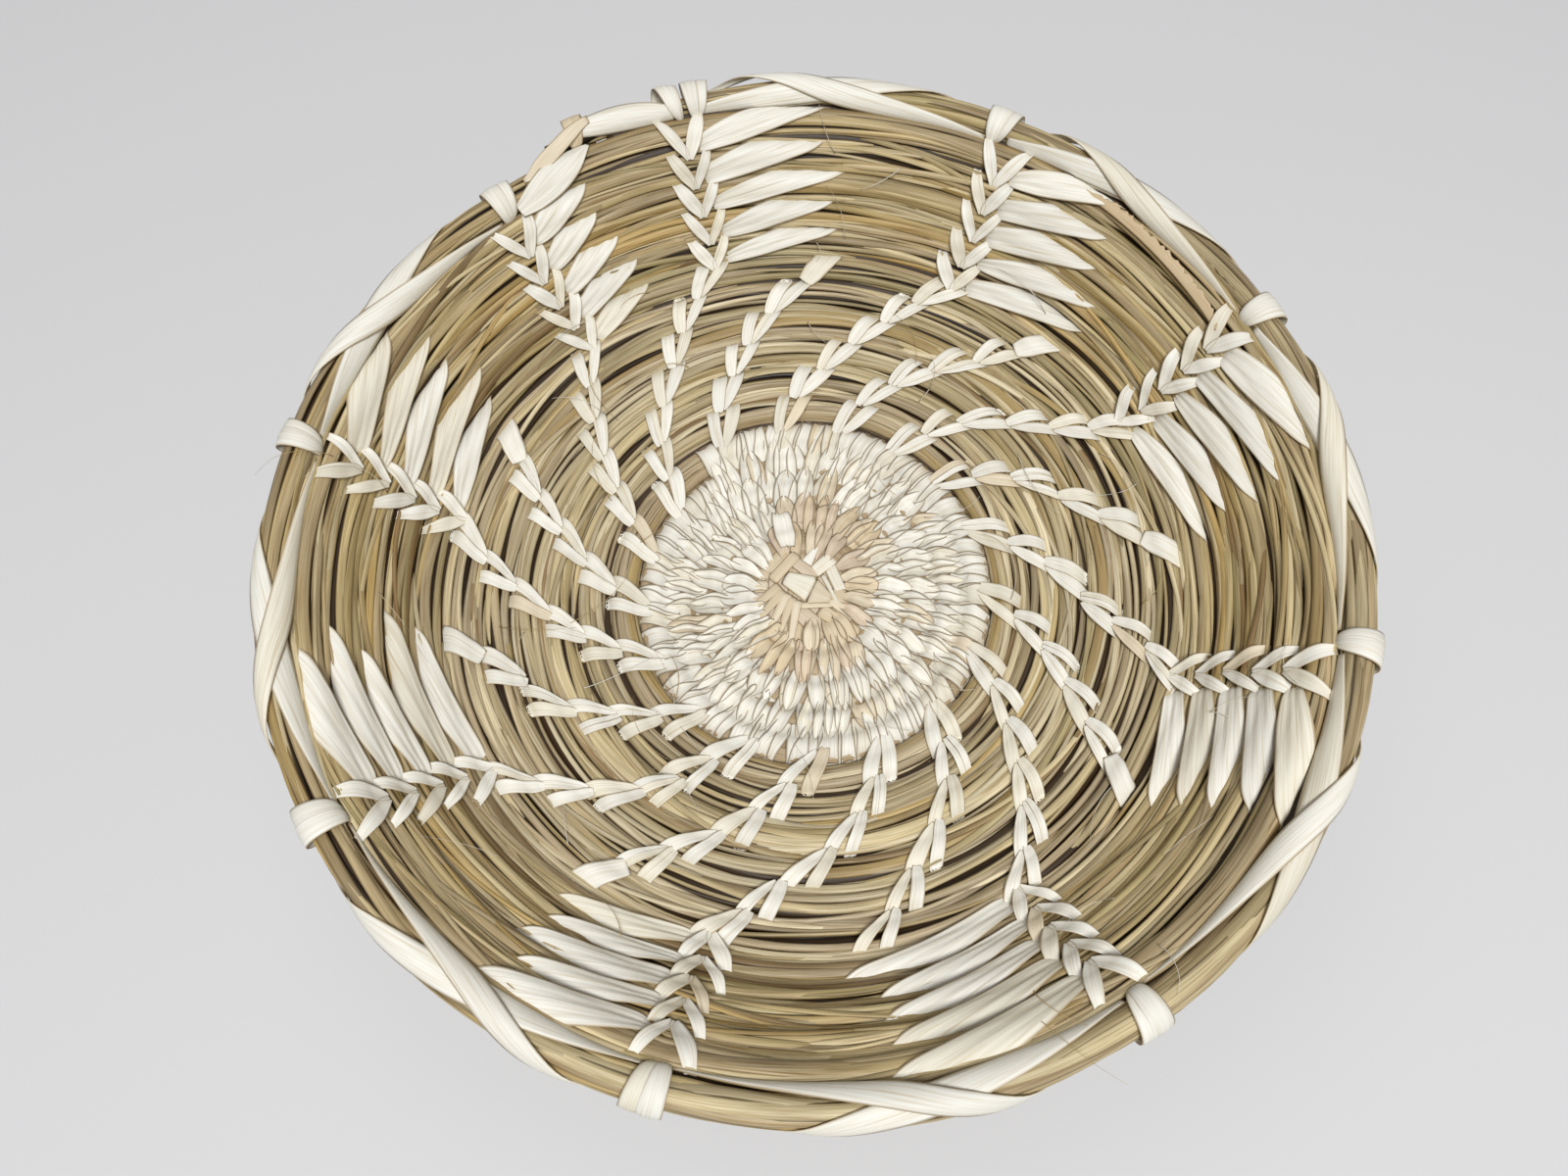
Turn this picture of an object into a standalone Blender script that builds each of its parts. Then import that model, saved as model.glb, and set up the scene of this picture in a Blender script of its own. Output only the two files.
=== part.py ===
"""Open-stitch coiled basket: a shallow round tray about 228 mm across and 49 mm high.

One bundle of grass stems winds counter-clockwise out of a plaited start knot.
Its first turns are wrapped in close stitching, the rest show, and rows of leaf
strips that go right round every turn sew the coil together.

Units are metres, +Z is up, and the origin is the middle of the base on its
resting plane. Angles are degrees counter-clockwise from +X. "Turn" counts loops
of the coil from the seam, where the close stitching stops, and is negative
inside it. "Across" is the same count read along one radius.
"""

import math

import bmesh
import bpy
import numpy as np

MM = 0.001

# The coil.
SEAM_ANGLE = 130.0
SEAM_RADIUS = 41.9 * MM
FIRST_TURN = -110.0 / 24.0
LAST_TURN = 11.98
POINTS_PER_TURN = 24
COIL_STEP = 360.0 / POINTS_PER_TURN
PITCH_TURNS = (-1.0, 0.5, 5.5, 6.5, 10.5, 11.5)
PITCH_SIZES = (6.9 * MM, 7.3 * MM, 7.3 * MM, 6.8 * MM, 6.8 * MM, 7.0 * MM)
SLOPE_TURNS = (-2.5, -0.2, 4.9, 7.2, 10.0, 11.6)
SLOPE_DEGREES = (0.0, 14.0, 14.0, 51.0, 51.0, 21.0)
BUNDLE_RADIUS_SHARE = 0.405
TAPER_TURNS = 0.09
TAPER_SHARE = 0.6

# The close stitching is a sheath with the bundle running inside it.
SHEATH_RADIUS = 3.05 * MM
SHEATH_BORE = 2.7 * MM
CORE_RADIUS = 2.35 * MM
BASE_FLAT = 0.1 * 2.0 * SHEATH_RADIUS
BASE_HEIGHT = SHEATH_RADIUS - BASE_FLAT
START_OFFSET = 9.0 * MM
START_RUN = 6.1 * MM
START_TURN = -4.438

# The start knot, a plaited square.
KNOT_HALF = 6.6 * MM
KNOT_CORNER = 3.0 * MM
KNOT_PLACE = (-2.2 * MM, 0.9 * MM)
KNOT_TOP = 4.6 * MM
KNOT_STRIP = 3.6 * MM
KNOT_RISE = 0.9 * MM

# A stitch row, in shares of the coil's pitch except for its widths.
HOLE_SHARE = 0.456
BAND_SHARE = 0.54
ROW_HALF = 1.4 * MM
ROW_FLARE = 2.0 * MM
BROAD_HALF = 3.0 * MM
BROAD_REACH = 0.05

# The leaf-shaped strip ends that fan out of each long row on the wall.
LEAF_COUNT = 5
LEAF_LOW = 0.475
LEAF_HIGH = 0.525
LEAF_LENGTH = 24.0 * MM
LEAF_STATIONS = (0.0, 0.25, 0.55, 0.8, 1.0)
LEAF_MIDDLES = (-0.27, -0.20, 0.0, 0.16, 0.30)
LEAF_HALVES = (0.12, 0.20, 0.20, 0.12, 0.02)

# Strips laced over the rim: one outward from each row, one back from the next.
RIM_LEAF_LIFT = 0.55 * MM
RIM_LACE_LIFT = 1.35 * MM
STRIP_THICKNESS = 0.45 * MM
RIM_STRIP_STEP = COIL_STEP / 4.0
RIM_STRIP_STEPS = 7
RIM_STRIP_CLEARANCE = 5.2 * MM
RIM_STRIP_ROUND = (150.0, 5.0)
RIM_LEAF_WIDTHS = (2.4 * MM, 5.4 * MM, 1.6 * MM)
RIM_LACE_WIDTHS = (3.0 * MM, 3.2 * MM, 2.6 * MM)

# The folded strip that binds the coil's tapered end to the turn below it.
BINDING_TURN = 11.966
BINDING_HALF = 2.4 * MM
BINDING_ROOM = 0.016

# Long rows run from the close stitching to the rim: start angle, wall angle.
LONG_ROWS = (
    (170.0, 132.0),
    (150.0, 106.0),
    (460.0, 424.5),
    (421.5, 387.0),
    (384.7, 343.0),
    (340.5, 301.0),
    (296.7, 255.5),
    (253.0, 214.0),
    (210.5, 170.5),
)
# Short rows stop on the last turn of the floor: start angle, end angle.
SHORT_ROWS = (
    (190.0, 154.5),
    (233.3, 192.0),
    (276.7, 236.0),
    (316.5, 279.5),
    (361.7, 323.0),
    (403.0, 362.5),
    (440.8, 405.5),
    (480.5, 446.0),
)
SHORT_ROW_LAST = 5

COLOURS = {
    "grass": (0.50, 0.38, 0.19, 1.0),
    "leaf": (0.84, 0.79, 0.66, 1.0),
    "knot": (0.60, 0.42, 0.24, 1.0),
}

TABLE_STEPS = 48


def pitch(turn):
    """Distance from one turn of the coil to the next."""
    return np.interp(turn, PITCH_TURNS, PITCH_SIZES)


def slope(turn):
    """Angle of the basket's profile to the ground, in radians."""
    return np.radians(np.interp(turn, SLOPE_TURNS, SLOPE_DEGREES))


def profile_table():
    """Radius and height of the coil's centre line for every turn."""
    turns = np.arange((FIRST_TURN - 1) * TABLE_STEPS, (LAST_TURN + 2) * TABLE_STEPS) / TABLE_STEPS
    middles = turns[:-1] + 0.5 / TABLE_STEPS
    steps = pitch(middles) / TABLE_STEPS
    radius = np.concatenate(([0.0], np.cumsum(steps * np.cos(slope(middles)))))
    height = np.concatenate(([0.0], np.cumsum(steps * np.sin(slope(middles)))))
    radius += SEAM_RADIUS - np.interp(0.0, turns, radius)
    return turns, radius, height + BASE_HEIGHT


TURNS, RADII, HEIGHTS = profile_table()


def place(across, angle, lift):
    """Point at a distance lift above the coil's centre line, on the faceted coil."""
    turn = across + (angle - SEAM_ANGLE) / 360.0
    half = COIL_STEP / 2.0
    off_middle = (angle - SEAM_ANGLE) % COIL_STEP - half
    chord = math.cos(math.radians(half)) / math.cos(math.radians(off_middle))
    tilt = slope(turn)
    radius = np.interp(turn, TURNS, RADII) * chord - lift * math.sin(tilt)
    height = np.interp(turn, TURNS, HEIGHTS) + lift * math.cos(tilt)
    return polar(radius, angle, height)


def polar(radius, angle, height):
    """Point from a radius, an angle in degrees and a height."""
    bearing = math.radians(angle)
    return (radius * math.cos(bearing), radius * math.sin(bearing), height)


def coil_point(turn):
    """Point of the coil's centre line at a turn."""
    radius = np.interp(turn, TURNS, RADII)
    return polar(radius, SEAM_ANGLE + 360.0 * turn, np.interp(turn, TURNS, HEIGHTS))


def start_points():
    """The coil's straight inner end, which lies along one side of the knot."""
    angle = SEAM_ANGLE + 360.0 * FIRST_TURN
    inner = np.array(polar(START_OFFSET, angle, BASE_HEIGHT))
    along = np.array(polar(1.0, angle + 90.0, 0.0))
    return [tuple(inner), tuple(inner + START_RUN * along)]


def coil_turns(last_turn):
    """Turns of the coil's points after its straight inner end."""
    first = math.ceil(START_TURN * POINTS_PER_TURN)
    last = math.floor(last_turn * POINTS_PER_TURN)
    turns = [index / POINTS_PER_TURN for index in range(first, last + 1)]
    if last_turn - turns[-1] > 0.1 / POINTS_PER_TURN:
        turns.append(last_turn)
    return turns


def bundle_radius(turn):
    """Radius of the grass bundle: drawn in under the close stitches and tapered at its end."""
    if turn <= 0.0:
        return CORE_RADIUS
    taper = np.interp(turn, (LAST_TURN - TAPER_TURNS, LAST_TURN), (1.0, TAPER_SHARE))
    return float(pitch(turn) * BUNDLE_RADIUS_SHARE * taper)


def bundle_point(turn):
    """Centre of the bundle, whose tapered end hugs the turn inside it."""
    full = float(pitch(turn) * BUNDLE_RADIUS_SHARE)
    inward = max(0.0, full - bundle_radius(turn)) if turn > 0.0 else 0.0
    radius = np.interp(turn, TURNS, RADII) - inward * math.cos(slope(turn))
    height = np.interp(turn, TURNS, HEIGHTS) - inward * math.sin(slope(turn))
    return polar(radius, SEAM_ANGLE + 360.0 * turn, height)


def link(obj, material):
    """Put a finished piece in the basket's collection with its material."""
    for holder in list(obj.users_collection):
        holder.objects.unlink(obj)
    bpy.data.collections["coiled_basket"].objects.link(obj)
    obj.data.materials.clear()
    obj.data.materials.append(material)
    return obj


def make_material(name):
    """A plain matt plant-fibre material."""
    material = bpy.data.materials.new(name)
    material.use_nodes = True
    shader = material.node_tree.nodes["Principled BSDF"]
    shader.inputs["Base Color"].default_value = COLOURS[name]
    shader.inputs["Roughness"].default_value = 0.62
    shader.inputs["Metallic"].default_value = 0.0
    material.diffuse_color = COLOURS[name]
    return material


def mesh_from_curve(curve_object, name):
    """Turn a curve object into a closed mesh object and remove the curve."""
    graph = bpy.context.evaluated_depsgraph_get()
    mesh = bpy.data.meshes.new_from_object(curve_object.evaluated_get(graph))
    matrix = curve_object.matrix_world.copy()
    bpy.data.objects.remove(curve_object)
    shape = bmesh.new()
    shape.from_mesh(mesh)
    bmesh.ops.remove_doubles(shape, verts=shape.verts, dist=0.00001)
    bmesh.ops.recalc_face_normals(shape, faces=shape.faces)
    shape.to_mesh(mesh)
    shape.free()
    obj = bpy.data.objects.new(name, mesh)
    obj.matrix_world = matrix
    bpy.context.scene.collection.objects.link(obj)
    return obj


def tube(name, points, radii):
    """A faceted tube along a run of points."""
    curve = bpy.data.curves.new(name, "CURVE")
    curve.dimensions = "3D"
    curve.bevel_depth = 1.0
    curve.bevel_resolution = 1
    curve.use_fill_caps = True
    spline = curve.splines.new("POLY")
    spline.points.add(len(points) - 1)
    for control, point, radius in zip(spline.points, points, radii):
        control.co = (*point, 1.0)
        control.radius = radius
    obj = bpy.data.objects.new(name, curve)
    bpy.context.scene.collection.objects.link(obj)
    bpy.context.view_layer.update()
    return mesh_from_curve(obj, name)


def least_gap(points, radii):
    """Least gap between parts of a tube that are at least a third of a loop apart."""
    samples, sizes = [], []
    for (one, two), (first, second) in zip(zip(points, points[1:]), zip(radii, radii[1:])):
        for share in (0.0, 0.25, 0.5, 0.75):
            samples.append(np.array(one) * (1.0 - share) + np.array(two) * share)
            sizes.append(first * (1.0 - share) + second * share)
    samples, sizes = np.array(samples), np.array(sizes)
    apart = 4 * POINTS_PER_TURN // 3
    least = math.inf
    for index in range(len(samples) - apart):
        gaps = np.linalg.norm(samples[index + apart:] - samples[index], axis=1)
        least = min(least, float(np.min(gaps - sizes[index + apart:] - sizes[index])))
    return least


def boolean(obj, other, operation):
    """Apply a Boolean with another object and remove that object."""
    modifier = obj.modifiers.new(operation.lower(), "BOOLEAN")
    modifier.operation = operation
    modifier.solver = "EXACT"
    modifier.object = other
    graph = bpy.context.evaluated_depsgraph_get()
    mesh = bpy.data.meshes.new_from_object(obj.evaluated_get(graph))
    obj.modifiers.clear()
    obj.data = mesh
    bpy.data.objects.remove(other)
    return obj


def make_bundle(material):
    """The grass bundle, one unbroken tube from the knot to the rim."""
    turns = coil_turns(LAST_TURN)
    points = start_points() + [bundle_point(turn) for turn in turns]
    radii = [CORE_RADIUS, CORE_RADIUS] + [bundle_radius(turn) for turn in turns]
    print(f"grass_bundle: least gap to itself {least_gap(points, radii) / MM:.2f} mm")
    return link(tube("grass_bundle", points, radii), material)


def make_sheath(material):
    """Close stitching: a bored tube round the bundle's first turns, cut flat below."""
    points = start_points() + [coil_point(turn) for turn in coil_turns(0.0)]
    outer = [SHEATH_RADIUS] * len(points)
    print(f"close_stitching: least gap to itself {least_gap(points, outer) / MM:.2f} mm")
    sheath = tube("close_stitching", points, outer)
    past_start = np.array(points[0]) * 2.0 - np.array(points[1])
    past_end = np.array(points[-1]) * 2.0 - np.array(points[-2])
    bore_points = [tuple(past_start)] + points[1:-1] + [tuple(past_end)]
    boolean(sheath, tube("bore", bore_points, [SHEATH_BORE] * len(points)), "DIFFERENCE")
    bpy.ops.mesh.primitive_cube_add(size=1.0, location=(0.0, 0.0, -0.01))
    ground = bpy.context.active_object
    ground.scale = (0.2, 0.2, 0.02)
    bpy.ops.object.transform_apply(location=False, rotation=False, scale=True)
    boolean(sheath, ground, "DIFFERENCE")
    return link(sheath, material)


def make_knot(material):
    """The plaited start knot: a rounded square with its over-and-under strips."""
    bpy.ops.mesh.primitive_cube_add(size=1.0)
    knot = bpy.context.active_object
    knot.name = "start_knot"
    knot.scale = (2.0 * KNOT_HALF, 2.0 * KNOT_HALF, KNOT_TOP)
    bpy.ops.object.transform_apply(location=False, rotation=False, scale=True)
    shape = bmesh.new()
    shape.from_mesh(knot.data)
    upright = [edge for edge in shape.edges if abs(edge.verts[0].co.z - edge.verts[1].co.z) > MM]
    bmesh.ops.bevel(shape, geom=upright, offset=KNOT_CORNER, segments=3, profile=0.5, affect="EDGES")
    shape.to_mesh(knot.data)
    shape.free()
    for vertex in knot.data.vertices:
        vertex.co.z += KNOT_TOP / 2.0
    for row in (-1, 0, 1):
        for column in (-1, 0, 1):
            over = (row + column) % 2 == 0
            size = (KNOT_STRIP * 1.05, KNOT_STRIP * 0.8) if over else (KNOT_STRIP * 0.8, KNOT_STRIP * 1.05)
            rise = KNOT_RISE if over else KNOT_RISE * 0.7
            place_at = (column * KNOT_STRIP * 1.1, row * KNOT_STRIP * 1.1, KNOT_TOP)
            boolean(knot, strip_hump(place_at, size, rise), "UNION")
    start_angle = SEAM_ANGLE + 360.0 * FIRST_TURN
    knot.location = (*KNOT_PLACE, 0.0)
    knot.rotation_euler = (0.0, 0.0, math.radians(start_angle))
    return link(knot, material)


def strip_hump(location, size, rise):
    """One visible crossing of the plait: a low block with bevelled top edges."""
    bpy.ops.mesh.primitive_cube_add(size=1.0, location=location)
    hump = bpy.context.active_object
    hump.scale = (size[0], size[1], 2.0 * rise)
    bpy.ops.object.transform_apply(location=False, rotation=False, scale=True)
    shape = bmesh.new()
    shape.from_mesh(hump.data)
    top = [edge for edge in shape.edges if min(edge.verts[0].co.z, edge.verts[1].co.z) > 0.0]
    bmesh.ops.bevel(shape, geom=top, offset=rise * 0.5, segments=1, profile=0.5, affect="EDGES")
    shape.to_mesh(hump.data)
    shape.free()
    return hump


def row_angle(across, start, end, reach):
    """Angle of a leaning stitch row: equal sideways steps until it has crossed reach turns."""
    def lean(value):
        return math.log(np.interp(value, TURNS, RADII) / SEAM_RADIUS)

    share = lean(min(across, reach)) / lean(reach)
    return start + (end - start) * share


def slab(name, columns, rows, holes, half):
    """A slab of quads at the given columns and rows, open where holes says, half thick each way."""
    shape = bmesh.new()
    across, up = len(columns) - 1, len(rows) - 1
    bmesh.ops.create_grid(shape, x_segments=across, y_segments=up, size=0.5)
    for vertex in shape.verts:
        column = round((vertex.co.x + 0.5) * across)
        row = round((vertex.co.y + 0.5) * up)
        vertex.co = (columns[column], rows[row], -half)
    middles = {face: face.calc_center_median() for face in shape.faces}
    open_faces = [face for face, middle in middles.items() if holes(middle.x, middle.y)]
    bmesh.ops.delete(shape, geom=open_faces, context="FACES")
    raised = bmesh.ops.extrude_face_region(shape, geom=shape.faces[:])
    for vertex in raised["geom"]:
        if isinstance(vertex, bmesh.types.BMVert):
            vertex.co.z = half
    bmesh.ops.recalc_face_normals(shape, faces=shape.faces)
    mesh = bpy.data.meshes.new(name)
    shape.to_mesh(mesh)
    shape.free()
    obj = bpy.data.objects.new(name, mesh)
    bpy.context.scene.collection.objects.link(obj)
    return obj


def ladder(name, last_cell, first_cell=0):
    """A row in its flat layout: one band round every turn, its unit one pitch."""
    columns = []
    for cell in range(first_cell, last_cell + 1):
        columns += [cell - HOLE_SHARE, cell + HOLE_SHARE]
    post = 1.0 - 2.0 * HOLE_SHARE
    columns = [columns[0] - post / 2.0] + columns + [columns[-1] + post]
    rows = (-BAND_SHARE, -HOLE_SHARE, HOLE_SHARE, BAND_SHARE)

    def in_hole(across, height):
        return abs(height) < HOLE_SHARE and abs(across - round(across)) < HOLE_SHARE

    return slab(name, columns, rows, in_hole, 1.0)


def flare_row(obj, last_cell):
    """Spread each cell towards its outer edge, and make the last cell a broad band."""
    for vertex in obj.data.vertices:
        across, side = vertex.co.x, math.copysign(1.0, vertex.co.z)
        share = (across + 0.5) % 1.0
        half = ROW_HALF
        if side < 0.0:
            half += ROW_FLARE * share
        if across > last_cell - 0.5:
            half = BROAD_HALF
        if across > last_cell:
            vertex.co.x += BROAD_REACH
        vertex.co.z = side * half / MM


def add_leaf(obj, cell):
    """Join a leaf-shaped strip end to a row, lying on one turn of the wall."""
    half = (LEAF_HIGH - LEAF_LOW) / 2.0
    leaf = slab("leaf", LEAF_STATIONS, (-1.0, 1.0), lambda along, side: False, half)
    for vertex in leaf.data.vertices:
        along, side, height = vertex.co
        middle = np.interp(along, LEAF_STATIONS, LEAF_MIDDLES)
        middle += side * np.interp(along, LEAF_STATIONS, LEAF_HALVES)
        vertex.co = (cell + middle, LEAF_LOW + half + height, -along * LEAF_LENGTH / MM)
    face_outward(leaf.data)
    return boolean(obj, leaf, "UNION")


def face_outward(mesh):
    """Turn a closed mesh's faces outward."""
    shape = bmesh.new()
    shape.from_mesh(mesh)
    bmesh.ops.recalc_face_normals(shape, faces=shape.faces)
    shape.to_mesh(mesh)
    shape.free()


def bend_to_coil(obj, start, end, reach):
    """Carry a row from its flat layout onto the coil."""
    for vertex in obj.data.vertices:
        across, height, side = vertex.co
        angle = row_angle(across, start, end, reach)
        turn = across + (angle - SEAM_ANGLE) / 360.0
        radius = np.interp(turn, TURNS, RADII)
        angle += math.degrees(side * MM / radius)
        vertex.co = place(across, angle, height * pitch(turn))
    face_outward(obj.data)


def rim_cell(angle):
    """Which turn, read along the radius at an angle, is the rim."""
    return math.floor(LAST_TURN - (angle - SEAM_ANGLE) / 360.0)


def make_long_row(number, start, end, material):
    """A row that runs from the close stitching up the wall and wraps the rim."""
    last_cell = rim_cell(end)
    row = ladder(f"long_row_{number}", last_cell)
    flare_row(row, last_cell)
    for cell in range(last_cell - LEAF_COUNT, last_cell):
        add_leaf(row, cell)
    bend_to_coil(row, start, end, last_cell - LEAF_COUNT)
    return link(row, material)


def make_short_row(number, start, end, material):
    """A row that ends in a broad band on the last turn of the floor."""
    row = ladder(f"short_row_{number}", SHORT_ROW_LAST)
    flare_row(row, SHORT_ROW_LAST)
    bend_to_coil(row, start, end, SHORT_ROW_LAST)
    return link(row, material)


def make_end_binding(material):
    """The band that holds the coil's tapered end against the turn below."""
    cell = math.floor(BINDING_TURN) + 1
    angle = SEAM_ANGLE + 360.0 * (BINDING_TURN - cell)
    binding = ladder("rim_end_binding", cell, cell)
    for vertex in binding.data.vertices:
        vertex.co.z = math.copysign(BINDING_HALF / MM, vertex.co.z)
    bend_to_coil(binding, angle, angle, 1)
    return link(binding, material)


def free_steps(cell, first_step, direction):
    """How many steps a strip can run along the rim before it reaches the bound coil end."""
    steps = 0
    while steps < RIM_STRIP_STEPS:
        turn = cell + (first_step + direction * (steps + 1)) * RIM_STRIP_STEP / 360.0
        blocked = turn > BINDING_TURN - BINDING_ROOM if direction > 0 else turn + 1.0 < LAST_TURN
        if blocked:
            break
        steps += 1
    return steps


def rim_strip(name, cell, first_step, direction, lift, widths, material):
    """A strip laid along the rim that crosses it from the inside to the outside."""
    steps = free_steps(cell, first_step, direction)
    if steps == 0:
        return
    round_from, round_to = RIM_STRIP_ROUND
    shape = bmesh.new()
    bmesh.ops.create_grid(shape, x_segments=steps, y_segments=2, size=0.5)
    for vertex in shape.verts:
        share = vertex.co.x + 0.5
        step = first_step + direction * share * steps
        ring = bundle_radius(cell + step * RIM_STRIP_STEP / 360.0) + lift
        width = np.interp(share, (0.0, 0.4, 1.0), widths)
        bearing = math.radians(round_from + (round_to - round_from) * share)
        bearing += vertex.co.y * width / ring
        outward, up = ring * math.cos(bearing), ring * math.sin(bearing)
        vertex.co = place_beside(cell, SEAM_ANGLE + step * RIM_STRIP_STEP, outward, up)
    bmesh.ops.recalc_face_normals(shape, faces=shape.faces)
    if shape.faces[:][0].normal.z < 0.0:
        bmesh.ops.reverse_faces(shape, faces=shape.faces)
    mesh = bpy.data.meshes.new(name)
    shape.to_mesh(mesh)
    shape.free()
    obj = bpy.data.objects.new(name, mesh)
    bpy.context.scene.collection.objects.link(obj)
    solid = obj.modifiers.new("thickness", "SOLIDIFY")
    solid.thickness = STRIP_THICKNESS
    solid.offset = 1.0
    link(obj, material)


def place_beside(across, angle, outward, lift):
    """Point beside the faceted coil: outward along the profile and lift off it."""
    base = np.array(place(across, angle, lift))
    tilt = slope(across + (angle - SEAM_ANGLE) / 360.0)
    return tuple(base + outward * np.array(polar(math.cos(tilt), angle, math.sin(tilt))))


def make_rim_strips(number, end, next_end, material):
    """The two strips that cross on the rim between one wrap and the next clockwise."""
    radius = float(np.interp(LAST_TURN - 0.5, TURNS, RADII))
    clearance = math.degrees(RIM_STRIP_CLEARANCE / radius)
    first = math.floor((end - clearance - SEAM_ANGLE) / RIM_STRIP_STEP)
    name = f"rim_leaf_{number}"
    rim_strip(name, rim_cell(end), first, -1, RIM_LEAF_LIFT, RIM_LEAF_WIDTHS, material)
    first = math.ceil((next_end + clearance - SEAM_ANGLE) / RIM_STRIP_STEP)
    name = f"rim_lace_{number}"
    rim_strip(name, rim_cell(next_end), first, 1, RIM_LACE_LIFT, RIM_LACE_WIDTHS, material)


def clear_scene():
    """Start from an empty scene with the basket's own collection."""
    for obj in list(bpy.data.objects):
        bpy.data.objects.remove(obj)
    collection = bpy.data.collections.new("coiled_basket")
    bpy.context.scene.collection.children.link(collection)


def main():
    clear_scene()
    grass, leaf, knot = (make_material(name) for name in ("grass", "leaf", "knot"))
    make_knot(knot)
    make_bundle(grass)
    make_sheath(leaf)
    for number, (start, end) in enumerate(LONG_ROWS, 1):
        make_long_row(number, start, end, leaf)
        make_rim_strips(number, end, LONG_ROWS[number % len(LONG_ROWS)][1], leaf)
    for number, (start, end) in enumerate(SHORT_ROWS, 1):
        make_short_row(number, start, end, leaf)
    make_end_binding(leaf)


main()
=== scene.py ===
"""Looks of the open-stitch coiled basket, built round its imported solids.

Every grass stem of the coil and every leaf strip of the stitching is its own
closed strip. Angles are degrees counter-clockwise from +X, seen from above.
"Turn" counts loops of the coil from the seam where the close stitching stops,
"cell" is the same count read along one radius, and "share" is a place across one
turn, from -0.5 at its inner gap to 0.5 at its outer gap. "Bearing" is a place
round the bundle's section: 0 is outward, 90 is up. "Run" is length along the coil.
"""

import math

import bpy
import numpy as np
from mathutils import Matrix, Vector


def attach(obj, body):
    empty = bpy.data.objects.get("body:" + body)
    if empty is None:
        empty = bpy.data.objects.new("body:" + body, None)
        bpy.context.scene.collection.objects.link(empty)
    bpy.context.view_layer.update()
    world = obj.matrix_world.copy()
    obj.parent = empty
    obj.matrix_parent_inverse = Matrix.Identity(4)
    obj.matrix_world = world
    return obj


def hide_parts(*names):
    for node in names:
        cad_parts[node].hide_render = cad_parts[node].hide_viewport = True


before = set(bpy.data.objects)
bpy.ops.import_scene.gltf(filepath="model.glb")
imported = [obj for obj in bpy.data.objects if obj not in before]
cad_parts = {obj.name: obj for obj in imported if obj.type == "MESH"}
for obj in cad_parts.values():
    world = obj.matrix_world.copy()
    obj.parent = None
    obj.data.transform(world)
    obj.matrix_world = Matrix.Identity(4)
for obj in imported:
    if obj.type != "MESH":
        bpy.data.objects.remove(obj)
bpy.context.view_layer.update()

MM = 0.001
ROOT = "root"
TINY = 1e-12


def mm(*values):
    """An array of lengths given in millimetres."""
    return np.array(values) * MM


# The coil's centre line, as in the solids.
SEAM_ANGLE = 130
SEAM_RADIUS = 41.9 * MM
FIRST_TURN = -110 / 24
LAST_TURN = 11.98
BASE_HEIGHT = 2.44 * MM
PITCH_TURNS = (-1, 0.5, 5.5, 6.5, 10.5, 11.5)
PITCH_SIZES = mm(6.9, 7.3, 7.3, 6.8, 6.8, 7)
SLOPE_TURNS = (-2.5, -0.2, 4.9, 7.2, 10, 11.6)
SLOPE_DEGREES = (0, 14, 14, 51, 51, 21)
TABLE_STEPS = 48

# The bundle's cross-section, in shares of the pitch.
BUNDLE_ACROSS = 0.515
BUNDLE_UP = 0.44
BUNDLE_ROUND = 0.6
RIM_ACROSS = 0.46
RIM_GIRTH = 0.47
# The coil tapers over its last turns to a share of its size.
END_TURNS = 0.09
END_SHARE = 0.4

# Grass stems: outer ones in a ring of slots, inner ones in the middle.
OUTER_STEMS = 11
INNER_STEMS = 5
INNER_DEPTH = 1.1 * MM
INNER_SHIFT = 20
INNER_SCALE = 1.5
# The stem in the gap between two turns, coloured as painted shade.
GAP_HALF = 2 * MM
GAP_RISE = 0.8 * MM
STEM_STEP = 3 * MM
STEM_LENGTH = mm(150, 380)
STEM_LEAD = 200 * MM
STEM_OVERLAP = 16 * MM
STEM_WIDTH = mm(1.6, 2.6)
THIN_WIDTH = mm(0.8, 1.3)
THIN_SHARE = 0.17
BROAD_WIDTH = mm(2.7, 3.4)
BROAD_SHARE = 0.12
STEM_HEIGHT = mm(1.05, 1.55)
STEM_BLUNT = 3 * MM
STEM_TAPER = 14 * MM
STEM_DIVE = 0.9 * MM
# How stems drift along their run: wavelength and amount.
OUTER_DRIFT = (110 * MM, 24)
INNER_DRIFT = (110 * MM, 7)
ROLL_DRIFT = (90 * MM, 20)
DEPTH_DRIFT = mm(60, 0.3)
HUE_DRIFT = (160 * MM, 0.7)
LIGHT_DRIFT = (45 * MM, 0.14)
STRAY_DRIFT = (60 * MM, 0.12)
ROLL = 16
KEEL = (0.7, 1.3)
STEMS_FROM = -0.25
STEM_SECTION = (
    (1, 0), (0.66, 0.66), (0, 1), (-0.66, 0.66),
    (-1, 0), (-0.68, -0.62), (0, -0.9), (0.68, -0.62),
)
STEM_SIDE, STEM_RISE = np.array(STEM_SECTION).T
# Painted shade round a stem's section: full under it, some at its sides, none on top, so that the
# gaps in the bundle look shaded.
STEM_SHADE = np.array((0.6, 0.1, 0, 0.1, 0.6, 1, 1, 1))
# How stitches draw the bundle in: share of its height, part of that across, reach.
PINCH = 0.12
PINCH_ACROSS = 0.25
PINCH_REACH = 3.4 * MM
# Stray stems, crossing to the next turn and lying along a gap: count, first turn, widths.
STRAYS = ((60, 1.5, (0.45, 0.85)), (120, 0.2, (0.6, 1.15)))
STRAY_LENGTH = (45, 110)
STRAY_STEP = 2 * MM
STRAY_FLAT = 0.42 * MM
FIBRES = 60
FIBRE_POINTS = 14

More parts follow.
